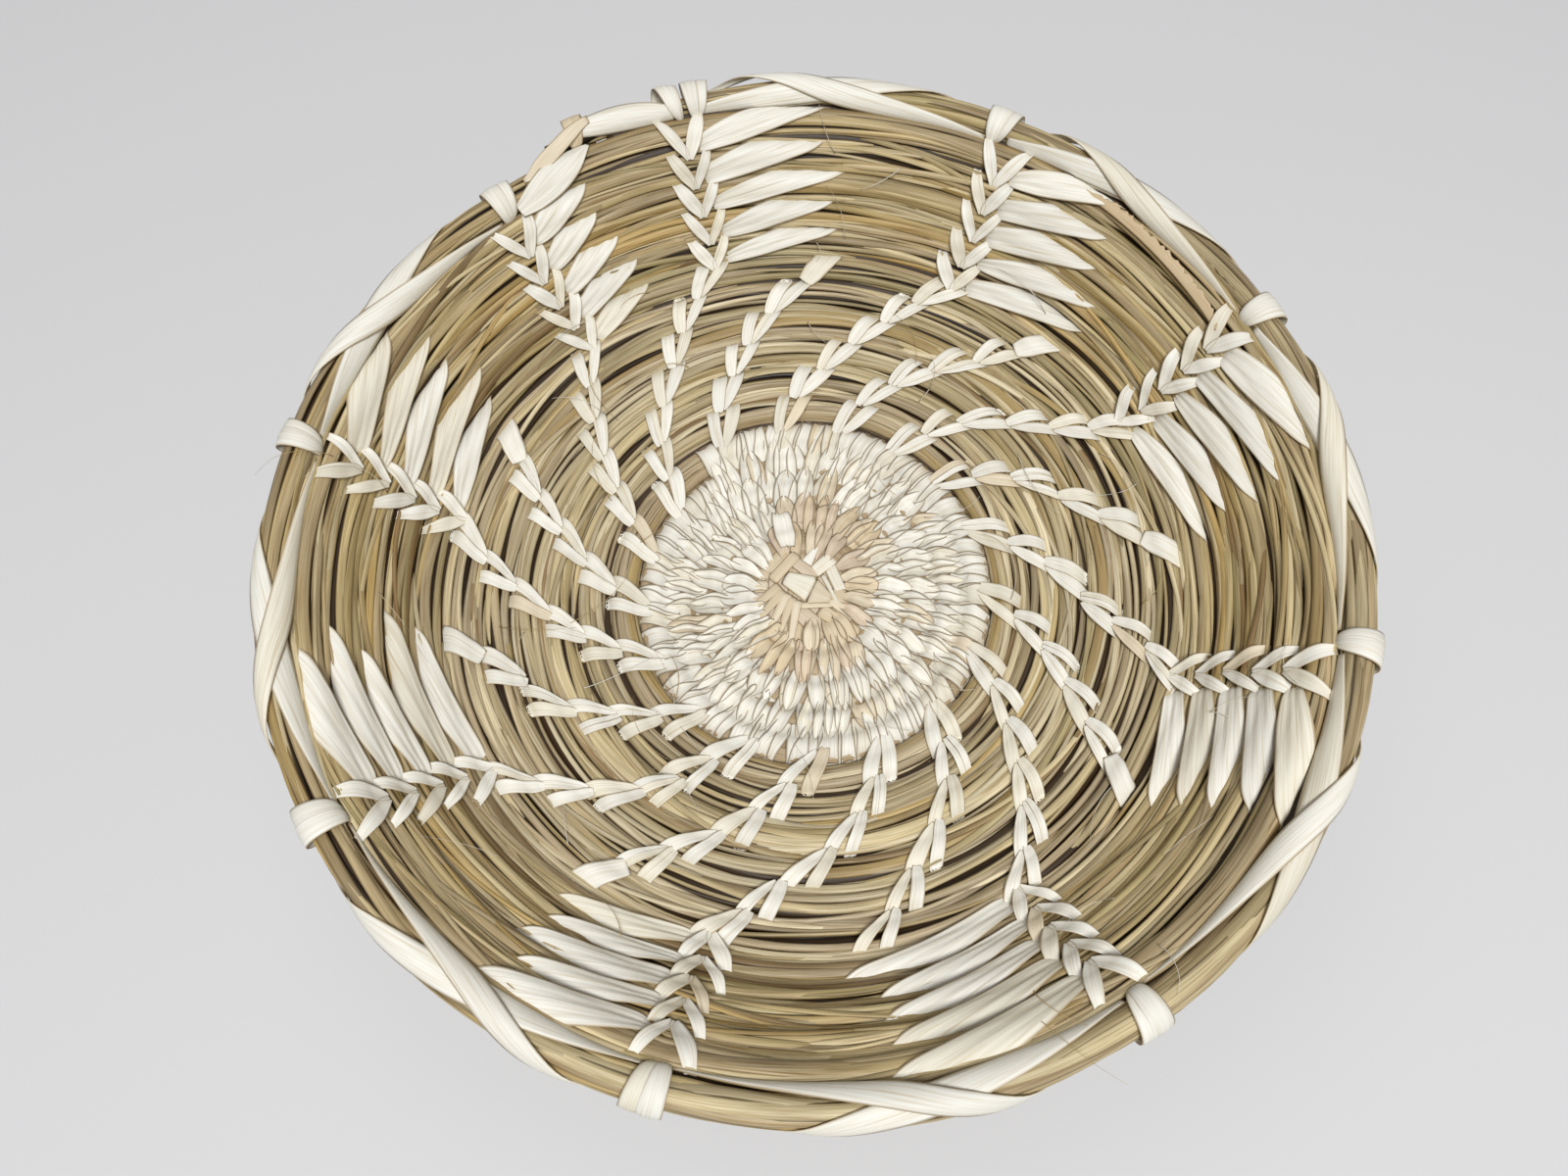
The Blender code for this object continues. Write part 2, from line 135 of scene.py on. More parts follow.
# Close stitches: half widths along a stitch, from its inner end to its outer end.
LOBE_SHAPE = (0.66, 0.96, 1.04, 1.02, 0.88, 0.58, 0.12)
FAN_SHAPE = (0.12, 0.3, 0.62, 0.9, 1, 0.85, 0.35)
CLOSE_BRIDGE = 2.25 * MM
CLOSE_START = 1.9 * MM
SPLIT_STITCH_SHARE = 0.18
OUTER_ROW = -1
OUTER_SPACING = (3.2, 4.6)
CLOSE_SPACING = (2.4, 4.4)
KNOT_ROW = FIRST_TURN + 0.75
COVERED_ACROSS = 3.35 * MM
COVERED_UP = 2.25 * MM

# Leaf strips.
STRIP_THICKNESS = 0.3 * MM
NARROWEST = 0.08 * MM
EDGE_THINNING = 0.55
# How far from a strip's ends its painted shade reaches, where the ends dive under other strips.
END_SHADE = 0.9 * MM
RIM_RADIUS = 113 * MM
ACROSS_POINTS = 7
ACROSS = np.linspace(-1, 1, ACROSS_POINTS)
LEAF_POINTS = 17
PLEATS = 3
GRAIN_SHIFT = 50
# Strips on the coil: how far they clear it, bridge its gaps and sink into them.
CLEARANCE = 0.28 * MM
BRIDGE = 2.7 * MM
BRIDGE_FADE = (-0.25, 0.35)
BRIDGE_POWER = 6
DEEPEST = 2 * MM
SINK_PULL = 0.9
# Degrees clockwise from a stitch's start to where it crosses the middle of its turn.
STITCH_LEAN = 4
STITCH_REACH = mm(5.2, 9)
SPLIT_SHARE = 0.2
# The clockwise and the other arm of a floor stitch, in places along them: half widths, lifts.
ARM_PLACES = np.array((0, 0.14, 0.32, 0.52, 0.72, 0.88, 1))
FIRST_ARM = np.array((0.4, 0.9, 1.2, 1.35, 1.3, 0.95, 0.35))
FIRST_ARM_LIFTS = mm(-0.4, 0.1, 0.18, 0.18, 0.12, 0, -0.9)
SECOND_ARM = np.array((0.8, 1.2, 1.35, 1.4, 1.4, 1.15, 0.45))
SECOND_ARM_LIFTS = mm(-0.4, 0.2, 0.34, 0.34, 0.28, 0, -0.9)
# Returns under a turn: shares of the turn and of the lean. Broad end strips: of the turn.
RETURN_LINE = ((-0.56, 0.5), (-0.2, 0.6), (0.2, 0.8), (0.56, 1))
END_STRIP_SHARES = (-0.62, -0.3, 0, 0.3, 0.66)
# Leaf ends on the wall: shares of the turn, places along, lifts.
LEAF_SHARES = np.array((-0.5, -0.38, -0.17, 0.08, 0.33, 0.57, 0.86))
LEAF_PLACES = np.array((0, 0.08, 0.26, 0.46, 0.65, 0.83, 1))
LEAF_LIFTS = mm(-1.3, -0.1, 0.2, 0.22, 0.16, 0.05, -0.1)
# Wraps round the rim from its inner gap outward: half widths and sideways shifts as shares.
WRAP_BEARINGS = (222, 178, 150, 110, 60, 0, -60, -110, -165)
WRAP_HALVES = np.array((0.22, 0.26, 0.42, 0.58, 0.68, 0.7, 0.64, 0.45, 0.3))
WRAP_SHIFTS = np.array((0.08, 0.1, 0.18, 0.28, 0.34, 0.36, 0.34, 0.25, 0.15))
WRAP_LIFTS = mm(-0.6, 0.45, 0.6, 0.6, 0.55, 0.55, 0.5, 0.3, -0.5)
WRAP_SWEEP = np.linspace(0.36, -0.64, 9)
WRAP_ROOM = 1.4
# Strips along the rim, laid outward in two layers and laced back over them.
LAID_BEARINGS = np.array((150, 136, 116, 88, 54, 12, -40))
LAID_HALVES = np.array((1.1, 1.9, 2.4, 2.6, 2.5, 2, 0.5))
LAID_LIFTS = mm(0.25, 0.4, 0.5, 0.5, 0.45, 0.4, -0.5)
LACE_BEARINGS = (168, 158, 146, 130, 104, 62, 12, -45)
LACE_HALVES = mm(1, 1.5, 1.8, 2, 2.1, 2, 1.7, 0.5)
LACE_LIFTS = mm(0.5, 0.7, 0.95, 1.1, 1.1, 1, 0.7, -0.4)

# Long rows: where the V of each cell starts, the column on the wall, the wrap on the rim, and
# how many mm the leaf ends are long.
LONG_ROWS = (
    ((170, 159.3, 153.3, 148, 142.2, 137.5), 132, 131.3, 20),
    ((149.8, 141, 135, 128.2, 121, 116, 111), 106, 106, 34),
    ((460, 454.5, 447.5, 440.8, 434.8, 430.5), 424.5, 66.2, 33),
    ((421.5, 415, 409.8, 401, 394.3, 389.8), 387, 27.2, 36),
    ((384.7, 374, 366.8, 356.8, 351.7, 347.7), 343, 346.3, 30),
    ((340.5, 332, 324.5, 318.2, 312.3, 307), 301, 301.8, 42),
    ((296.7, 289.5, 283, 275.5, 265.5, 261), 255.5, 255.2, 36),
    ((253, 244, 240, 235, 227.5, 221.5), 214, 214, 38),
    ((210.5, 201.5, 195.5, 189.5, 182.5, 178.3), 170.5, 170.3, 34),
)
# Short rows: their Vs, then the middle of the broad end strip, or None without one.
SHORT_ROWS = (
    ((189.8, 182.3, 175.3, 168.5, 163), 154.5),
    ((233.3, 224.5, 217.7, 212.5, 202.5), 193),
    ((276.7, 266, 259.5, 253.3, 245.5), 237.5),
    ((316.5, 310.3, 305.2, 297.5, 289.3, 284), None),
    ((361.7, 352.5, 345, 338, 331.3), 324.5),
    ((403, 396.5, 390, 380.8, 374), 364.5),
    ((440.8, 436, 429, 422, 414.5), 407),
    ((480.5, 476, 469, 464, 458.5), 448),
)
RIM_WRAPS = [row[2] for row in LONG_ROWS]
# The second long row has two wraps on the rim: their angles, breadths in mm and leans.
DOUBLE_WRAP = ((106.7, 2.5, -2.6), (103.9, 2.8, 0.8))


def srgb(red, green, blue):
    """Linear colour from a screen's values from 0 to 255."""
    values = np.array((red, green, blue)) / 255
    return np.where(values <= 0.04045, values / 12.92, ((values + 0.055) / 1.055) ** 2.4)


STRAW = srgb(206, 189, 147)
PALE_STRAW = srgb(227, 214, 180)
GREY_TAN = srgb(192, 175, 144)
OLIVE = srgb(186, 173, 130)
GOLD = srgb(203, 178, 123)
BROWN = srgb(159, 134, 96)
# Painted shade: the near-black colour of the inner stems and the gap stem, which stand where the
# bundle is in shade.
DEEP_SHADE_BROWN = srgb(62, 46, 27)
COVERED = srgb(192, 172, 141)
CREAM = srgb(243, 241, 232)
IVORY = srgb(238, 233, 217)
WARM_CREAM = srgb(230, 218, 194)
TAN = srgb(224, 208, 179)
ROSY = srgb(220, 203, 182)
RUSSET = srgb(176, 146, 114)
STEM_COLOURS = (STRAW, PALE_STRAW, GREY_TAN, OLIVE, GOLD, BROWN)
STEM_WEIGHTS = (0.31, 0.28, 0.20, 0.05, 0.10, 0.06)
STEM_LIGHT = (0.7, 1.06)
# What the stems keep of their colour on the wall, which begins between two turns: painted shade of
# the steep wall, and a more golden tone of their own.
WALL_SHADE_AND_GOLD = np.array((0.93, 0.89, 0.79))
WALL_TURNS = (5, 7.5)
LEAF_COLOURS = (CREAM, IVORY, WARM_CREAM)
LEAF_WEIGHTS = (0.7, 0.26, 0.04)
PALE_WEIGHTS = (0.85, 0.13, 0.02)
CLOSE_WEIGHTS = (0.8, 0.17, 0.03)
TAN_COLOURS = (TAN, ROSY, WARM_CREAM)
TAN_WEIGHTS = (0.42, 0.33, 0.25)

# Noise along the grain: scales along, across and from strip to strip, detail, offset.
STREAK_NOISE = ((90, 5200, 37), 3, (0, 0, 0))
LINE_NOISE = ((45, 2300, 53), 2, (7, 3, 0))
BLOTCH_NOISE = ((70, 500, 71), 3, (2, 9, 0))
SHEEN = 0.35
RIDGE_HEIGHT = 0.12 * MM
WHITE = (1, 1, 1, 1)
# Finishes: roughness, light streaks, dark streaks, bump, painted shade colour, where the painted
# shade starts, blotches.
GRASS_FINISH = (0.46, (0.68, 0.63, 0.54, 1), (0.56, 0.46, 0.34, 1), 0.35,
                (0.17, 0.125, 0.075, 1), 0.16, 0.4)
LEAF_FINISH = (0.56, (0.85, 0.81, 0.73, 1), (0.8, 0.72, 0.6, 1), 0.35,
               (0.55, 0.45, 0.32, 1), 0.84, 0.2)
# The close stitches' finish: deeper and broader painted shade between their lobes.
LOBE_SHADE_FINISH = (0.6, (0.85, 0.81, 0.73, 1), (0.78, 0.7, 0.58, 1), 0.35,
               (0.34, 0.27, 0.19, 1), 0.78, 0.2)


def pitch(turn):
    """Distance from one turn of the coil to the next."""
    return np.interp(turn, PITCH_TURNS, PITCH_SIZES)


def slope(turn):
    """Angle of the basket's profile to the ground, in radians."""
    return np.radians(np.interp(turn, SLOPE_TURNS, SLOPE_DEGREES))


def profile_table():
    """Radius and height of the coil's centre line for every turn."""
    turns = np.arange((FIRST_TURN - 1) * TABLE_STEPS, (LAST_TURN + 2) * TABLE_STEPS) / TABLE_STEPS
    middles = turns[:-1] + 0.5 / TABLE_STEPS
    steps = pitch(middles) / TABLE_STEPS
    radius = np.concatenate(([0], np.cumsum(steps * np.cos(slope(middles)))))
    height = np.concatenate(([0], np.cumsum(steps * np.sin(slope(middles)))))
    radius += SEAM_RADIUS - np.interp(0, turns, radius)
    return turns, radius, height + BASE_HEIGHT


TURNS, RADII, HEIGHTS = profile_table()
LENGTHS = np.concatenate(([0], np.cumsum(2 * math.pi * np.maximum(RADII[:-1], 0) / TABLE_STEPS)))


def turn_at(run):
    """Turn of the coil at a run along it."""
    return np.interp(run, LENGTHS, TURNS)


def run_at(turn):
    """Run along the coil at a turn."""
    return np.interp(turn, TURNS, LENGTHS)


def turn_of(across, angle):
    """Turn of the coil at a place along the radius at an angle."""
    return across + (np.asarray(angle) - SEAM_ANGLE) / 360


def radius_at(across, angle):
    """Radius of the coil's centre surface there."""
    return np.interp(turn_of(across, angle), TURNS, RADII)


def place(across, angle, outward, lift):
    """Points by the coil: outward along the profile and lift off its centre surface."""
    turn = turn_of(across, angle)
    tilt = slope(turn)
    radius = np.interp(turn, TURNS, RADII) + outward * np.cos(tilt) - lift * np.sin(tilt)
    height = np.interp(turn, TURNS, HEIGHTS) + outward * np.sin(tilt) + lift * np.cos(tilt)
    bearing = np.radians(angle)
    return np.stack([radius * np.cos(bearing), radius * np.sin(bearing), height], axis=-1)


def rim_cell(angle):
    """Which cell, read along the radius at an angle, is the rim."""
    return math.floor(LAST_TURN - (angle - SEAM_ANGLE) / 360)


def wander(rng, run, wavelength, amount):
    """Smooth random drift along a run."""
    drift = np.zeros_like(run)
    for _ in range(3):
        rate = rng.uniform(0.6, 1.8) / wavelength
        drift += np.sin(2 * math.pi * (run * rate + rng.uniform()))
    return drift * amount / 3


def ease(value, low, high):
    """Smooth step from 0 at low to 1 at high."""
    share = np.clip((value - low) / (high - low), 0, 1)
    return share * share * (3 - 2 * share)


def curve_through(values, count):
    """A smooth curve of count places through evenly spaced values."""
    values = np.asarray(values, float)
    last = len(values) - 1
    at = np.clip(np.linspace(0, 1, count) * last, 0, last - 1e-9)
    index = at.astype(int)
    part = at - index
    before, start = values[np.maximum(index - 1, 0)], values[index]
    end, after = values[index + 1], values[np.minimum(index + 2, last)]
    part = part.reshape(part.shape + (1,) * (values.ndim - 1))
    return start + 0.5 * part * (
        end - before
        + part * (2 * before - 5 * start + 4 * end - after
                  + part * (3 * (start - end) + after - before))
    )


def new_object(name, data):
    """An object in the scene."""
    made = bpy.data.objects.new(name, data)
    bpy.context.scene.collection.objects.link(made)
    return made


class Strips:
    """Closed strips gathered into one mesh, with grain, tint and bake map."""

    def __init__(self):
        self.points, self.quads, self.caps = [], [], []
        self.grain, self.tint, self.maps = [], [], []
        self.count, self.tape, self.widest = 0, 0, 0

    def add(self, rings, along, side, tint, painted_shade, seed):
        """Add one strip: rings of points, with their run, their place across, a tint and how much
        painted shade each point takes.
        """
        run, around = rings.shape[:2]
        index = self.count + np.arange(run * around).reshape(run, around)
        beside = np.roll(index, -1, axis=1)
        quads = np.stack([index[:-1], beside[:-1], beside[1:], index[1:]], axis=-1).reshape(-1, 4)
        caps = [index[0][::-1], index[-1]]
        girth = np.linalg.norm(np.roll(rings, -1, axis=1) - rings, axis=2).max(axis=0)
        reach = np.concatenate(([0], np.cumsum(girth)))
        flat = rings.reshape(-1, 3)
        a, b, c, d = np.moveaxis(flat[quads - self.count] - flat.mean(axis=0), 1, 0)
        volume = (a * (np.cross(b, c) + np.cross(c, d))).sum()
        if volume < 0:
            quads, caps = quads[:, ::-1], [cap[::-1] for cap in caps]
        self.points.append(flat)
        self.quads.append(quads)
        self.caps += caps
        spans = ((self.tape + along[:-1])[:, None], np.diff(along)[:, None], reach[:-1], reach[1:],
                 volume < 0)
        self.maps.append(np.stack(
            [np.broadcast_to(span, (run - 1, around)).ravel() for span in spans], axis=-1))
        grain = np.empty((run, around, 3))
        grain[..., 0], grain[..., 1], grain[..., 2] = along[:, None], side, seed
        self.grain.append(grain.reshape(-1, 3))
        colour = np.empty((run, around, 4))
        colour[..., :3] = np.broadcast_to(tint, (run, 3))[:, None]
        colour[..., 3] = painted_shade
        self.tint.append(colour.reshape(-1, 4))
        self.count += run * around
        self.tape += along[-1] + MM
        self.widest = max(self.widest, reach[-1])

    def bake_map(self):
        """Where each face corner lies with the strips laid in rows that fill a square."""
        height = self.widest + 0.3 * MM
        row_length = math.sqrt(max(self.tape, height) * height)
        start, step, low, high, flipped = np.concatenate(self.maps).T
        row = np.floor(start / row_length)
        ends = start - row * row_length, start - row * row_length + step
        first, last = np.where(flipped, ends[::-1], ends)
        u = np.stack([first, first, last, last], axis=-1)
        v = np.stack([low, high, high, low], axis=-1) + (row * height)[:, None]
        flat = np.stack([u, v], axis=-1).reshape(-1, 2)
        return flat / (flat.max() * 1.001)

    def build(self, name, material, *nodes, slot="leaf_strip"):
        """Make the mesh and let it ride on the basket and stand for its CAD nodes."""
        mesh = bpy.data.meshes.new(name)
        quads = np.concatenate(self.quads)
        faces = quads.tolist() + [cap.tolist() for cap in self.caps]
        mesh.from_pydata(np.concatenate(self.points).tolist(), [], faces)
        grain = mesh.attributes.new("grain", "FLOAT_VECTOR", "POINT")
        grain.data.foreach_set("vector", np.concatenate(self.grain).astype(np.float32).ravel())
        tint = mesh.attributes.new("tint", "FLOAT_COLOR", "POINT")
        tint.data.foreach_set("color", np.concatenate(self.tint).astype(np.float32).ravel())
        places = np.zeros((len(mesh.loops), 2), np.float32)
        mapped = self.bake_map()
        places[:len(mapped)] = mapped
        mesh.uv_layers.new(name="OFBake").data.foreach_set("uv", places.ravel())
        mesh.shade_smooth()
        piece = new_object(name, mesh)
        mesh.materials.append(material)
        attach(piece, ROOT)
        if nodes:
            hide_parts(*nodes)
        return piece


def unit(vectors):
    """The vectors at length 1."""
    return vectors / np.maximum(np.linalg.norm(vectors, axis=-1, keepdims=True), TINY)


def add_sheet(strips, grid, tint, seed, crown=0.15 * MM, thickness=STRIP_THICKNESS, pleat=0):
    """Add a leaf strip from its middle surface, crowned, pleated and thin at its edges."""
    around = grid.shape[1]
    normal = unit(np.cross(np.gradient(grid, axis=0), np.gradient(grid, axis=1)))
    side = np.linspace(-1, 1, around)
    fold = np.cos(side * PLEATS * math.pi + seed) * (1 - side ** 4)
    bow = crown * (1 - side ** 2) + pleat * fold
    half = 0.5 * thickness * (1 - EDGE_THINNING * side ** 4)
    top = grid + normal * (bow + half)[..., None]
    bottom = grid + normal * (bow - half)[..., None]
    rings = np.concatenate([top, bottom[:, ::-1]], axis=1)
    rings[..., 2] = np.maximum(rings[..., 2], 0)
    middle = grid[:, around // 2]
    along = np.concatenate(([0], np.cumsum(np.linalg.norm(np.diff(middle, axis=0), axis=1))))
    width = np.linalg.norm(grid[:, -1] - grid[:, 0], axis=1).max()
    across = np.concatenate([side, side[::-1]])
    # Painted shade: darker towards the strip's edges and its ends, where it meets its neighbours
    # and dives under them.
    ends = 1 - ease(np.minimum(along, along[-1] - along), 0, END_SHADE)
    painted_shade = np.maximum(np.abs(across)[None, :], ends[:, None])
    strips.add(rings, along, across * width / 2, tint, painted_shade, seed)


def coil_top(across, angle, under):
    """How far the bundle's outline is over its centre surface, or under it where under is -1."""
    local = across - np.round(across)
    rise = np.cos(math.pi * np.clip(local, -0.5, 0.5)) ** BUNDLE_ROUND
    return under * BUNDLE_UP * pitch(turn_of(across, angle)) * rise


def drape(cell, start_angle, line, halves, lifts, under=1, dive=0.49, inner=BRIDGE, outer=0,
          count=13, points=ACROSS_POINTS):
    """Lay a flat strip on the coil: its line is (share, sideways), sideways clockwise.

    It stays at least inner and outer above the coil's centre by those gaps, and past dive it
    turns down into the outer gap.
    """
    centre, half, lift = (curve_through(values, count) for values in (line, halves, lifts))
    half = np.maximum(half, NARROWEST)
    step = float(pitch(turn_of(cell, start_angle)))
    flat = centre * (step, 1)
    way = unit(np.gradient(flat, axis=0))
    square = np.c_[-way[:, 1], way[:, 0]]
    side = np.linspace(-1, 1, points)
    places = flat[:, None] + square[:, None] * (side[:, None] * half[:, None, None])
    share, sideways = places[..., 0] / step, places[..., 1]
    beyond = np.maximum(share - dive, 0)
    share = share - SINK_PULL * beyond
    angle = start_angle - np.degrees(sideways / radius_at(cell + share, start_angle))
    rise = np.abs(coil_top(cell + share, angle, under))
    bridge = inner + (outer - inner) * ease(share, *BRIDGE_FADE)
    rise = (rise ** BRIDGE_POWER + bridge ** BRIDGE_POWER) ** (1 / BRIDGE_POWER)
    depth = DEEPEST * np.tanh(beyond * step / DEEPEST)
    rise = under * (rise + CLEARANCE + lift[:, None] - depth)
    return place(cell + share, angle, 0, rise)


def feed(node, inputs):
    """Set a shader node's inputs by name, or link those that are given as sockets."""
    for key, value in inputs.items():
        if isinstance(value, bpy.types.NodeSocket):
            node.id_data.links.new(value, node.inputs[key])
        else:
            node.inputs[key].default_value = value


def make_material(name, rough, streak_low, streak_dark, bump, shade_colour, shade_from, blotchy):
    """A plant fibre: its own tint, fine streaks and blotches along the grain, and painted shade
    where the tint's alpha marks it.
    """
    material = bpy.data.materials.new(name)
    material.use_nodes = True
    nodes = material.node_tree.nodes

    def node(kind, inputs, **settings):
        made = nodes.new(kind)
        for key, value in settings.items():
            setattr(made, key, value)
        feed(made, inputs)
        return made

    def noise(scale, detail, offset):
        places = {"Vector": grain.outputs["Vector"], "Scale": scale, "Location": offset}
        stretched = node("ShaderNodeMapping", places).outputs["Vector"]
        inputs = {"Vector": stretched, "Scale": 1, "Detail": detail}
        return node("ShaderNodeTexNoise", inputs).outputs["Fac"]

    def spread(value, low, high, out_low, out_high):
        inputs = {"Value": value, "From Min": low, "From Max": high,
                  "To Min": out_low, "To Max": out_high}
        return node("ShaderNodeMapRange", inputs, interpolation_type="SMOOTHSTEP").outputs["Result"]

    def blend(kind, share, first, second):
        inputs = {"Factor": share, "A": first, "B": second}
        return node("ShaderNodeMix", inputs, data_type="RGBA", blend_type=kind).outputs["Result"]

    grain = node("ShaderNodeAttribute", {}, attribute_name="grain")
    tint = node("ShaderNodeAttribute", {}, attribute_name="tint")
    streaks, lines, blotch = noise(*STREAK_NOISE), noise(*LINE_NOISE), noise(*BLOTCH_NOISE)
    streaked = blend("MIX", spread(streaks, 0.3, 0.62, 0, 1), streak_low, WHITE)
    colour = blend("MULTIPLY", 1, tint.outputs["Color"], streaked)
    colour = blend("MULTIPLY", spread(lines, 0.56, 0.72, 0, 0.75), colour, streak_dark)
    colour = blend("MULTIPLY", spread(blotch, 0.6, 0.8, 0, blotchy), colour, streak_dark)
    # Painted shade: where the tint's alpha is high, the colour is darkened towards the shade
    # colour.
    painted_shade = spread(tint.outputs["Alpha"], shade_from, 1, 0, 1)
    ridge = node("ShaderNodeBump", {"Strength": bump, "Distance": RIDGE_HEIGHT, "Height": streaks})
    feed(nodes["Principled BSDF"], {
        "Base Color": blend("MULTIPLY", painted_shade, colour, shade_colour),
        "Roughness": spread(streaks, 0.3, 0.7, rough + 0.1, rough - 0.06),
        "Specular IOR Level": SHEEN,
        "Normal": ridge.outputs["Normal"],
    })
    return material


def stem_tint(rng, run):
    """Colours along one stem: its hue drifts to another, it is lighter in places, and on the wall
    it takes painted shade and a more golden tone.
    """
    first, second = rng.choice(len(STEM_COLOURS), size=2, p=STEM_WEIGHTS)
    share = np.clip(0.25 + wander(rng, run, *HUE_DRIFT), 0, 0.8)[:, None]
    colour = STEM_COLOURS[first] * (1 - share) + STEM_COLOURS[second] * share
    bright = rng.uniform(*STEM_LIGHT) * (1 + wander(rng, run, *LIGHT_DRIFT))
    wall = ease(turn_at(run), *WALL_TURNS)[:, None]
    return colour * bright[:, None] * (1 + wall * (WALL_SHADE_AND_GOLD - 1))


def stitch_places():
    """Run along the coil at which each stitch of a row crosses it."""
    turns = [turn_of(cell, angle - STITCH_LEAN) for apexes, *_ in LONG_ROWS + SHORT_ROWS
             for cell, angle in enumerate(apexes)]
    turns += [turn_of(cell, column) for apexes, column, *_ in LONG_ROWS
              for cell in range(len(apexes), rim_cell(column) + 1)]
    return run_at(np.array(turns, float))


def squeeze(run, crossings):
    """How much of its height the bundle keeps where stitches draw it in."""
    gaps = np.abs(run[:, None] - crossings[None, :]) / PINCH_REACH
    return 1 - PINCH * np.exp(-gaps ** 2).max(axis=1)


def stem_halves(rng, scale, inner):
    """Half width and half height of a stem: some are thin, a few broad, the rest between."""
    kind = 1 if inner else rng.uniform()
    broad = kind < THIN_SHARE + BROAD_SHARE
    widths = THIN_WIDTH if kind < THIN_SHARE else BROAD_WIDTH if broad else STEM_WIDTH
    return rng.uniform(*widths) * scale / 2, rng.uniform(*STEM_HEIGHT) * scale / 2


def add_stem(strips, rng, run, bearing, depth, keep, scale, inner):
    """Add one stem along a run of the coil, at a bearing in the bundle's section."""
    turn = turn_at(run)
    step = pitch(turn)
    whole = ease(np.minimum(run - run[0], run[-1] - run), -STEM_BLUNT, STEM_TAPER)
    width, height = stem_halves(rng, scale, inner)
    bearing = np.radians(bearing + wander(rng, run, *(INNER_DRIFT if inner else OUTER_DRIFT)))
    roll = np.radians(rng.uniform(-ROLL, ROLL) + wander(rng, run, *ROLL_DRIFT))
    inward = 1.15 * height + 0.2 * MM + depth + (1 - whole) * STEM_DIVE
    inward = inward + wander(rng, run, *DEPTH_DRIFT)
    tail = np.interp(turn, (LAST_TURN - END_TURNS, LAST_TURN), (1, END_SHARE))
    rim = np.interp(turn, (LAST_TURN - 1, LAST_TURN - 0.9), (BUNDLE_ACROSS, RIM_ACROSS))
    wide = np.where(np.cos(bearing) > 0, rim, BUNDLE_ACROSS)
    drawn = 1 - PINCH_ACROSS * (1 - keep)
    across = (wide * step * drawn * tail - inward) * np.cos(bearing)
    across = across - (1 - tail) * BUNDLE_ACROSS * step
    up = (BUNDLE_UP * step * keep * tail - inward) * np.sin(bearing)
    keel = rng.uniform(*KEEL)
    side, rise = STEM_SIDE * width, STEM_RISE * height
    rise = np.where(rise > 0.9 * height, rise * keel, rise)
    swell = (0.3 + 0.7 * whole)[:, None]
    turned = (bearing + roll)[:, None]
    outward = across[:, None] + swell * (rise * np.cos(turned) - side * np.sin(turned))
    lift = up[:, None] + swell * (rise * np.sin(turned) + side * np.cos(turned))
    rings = place(0, (SEAM_ANGLE + 360 * turn)[:, None], outward, lift)
    # Inner stems take the painted shade colour, as they lie where the bundle is in shade.
    tint = DEEP_SHADE_BROWN if inner else stem_tint(rng, run)
    strips.add(rings, run - run[0], side, tint, STEM_SHADE, rng.uniform(0, GRAIN_SHIFT))


def make_stems(material):
    """The grass bundle: stems end to end, each new one rising as the last one dives."""
    first, last = run_at((STEMS_FROM, LAST_TURN))
    crossings = stitch_places()
    slots = [(360 * slot / OUTER_STEMS, 0, 1) for slot in range(OUTER_STEMS)]
    slots += [(360 * slot / INNER_STEMS + INNER_SHIFT, INNER_DEPTH, INNER_SCALE)
              for slot in range(INNER_STEMS)]
    for number, (bearing, depth, scale) in enumerate(slots, 1):
        rng = np.random.default_rng(1000 + number)
        strips = Strips()
        start = first - rng.uniform(0, STEM_LEAD)
        while start < last:
            end = start + rng.uniform(*STEM_LENGTH)
            low, high = max(start - STEM_OVERLAP, first), min(end, last)
            if high - low > 2 * STEM_OVERLAP:
                run = np.linspace(low, high, max(6, round((high - low) / STEM_STEP)))
                keep = squeeze(run, crossings)
                add_stem(strips, rng, run, bearing, depth, keep, scale, depth > 0)
            start = end
        strips.build(f"grass_stems_{number}", material, "grass_bundle", slot="grass_stems")


def make_gap_stem(material):
    """A broad stem deep in the gap between turns, so that no light passes there, dark as painted
    shade.
    """
    strips = Strips()
    first, last = run_at((STEMS_FROM, LAST_TURN - 1.02))
    run = np.linspace(first, last, round((last - first) / STEM_STEP))
    angle = SEAM_ANGLE + 360 * turn_at(run)
    side, rise = STEM_SIDE * GAP_HALF, STEM_RISE * GAP_RISE
    rings = place(0.5, angle[:, None], side[None, :], rise[None, :])
    strips.add(rings, run - run[0], side, DEEP_SHADE_BROWN, painted_shade=0, seed=5)
    strips.build("gap_stem", material, "grass_bundle", slot="grass_stems")


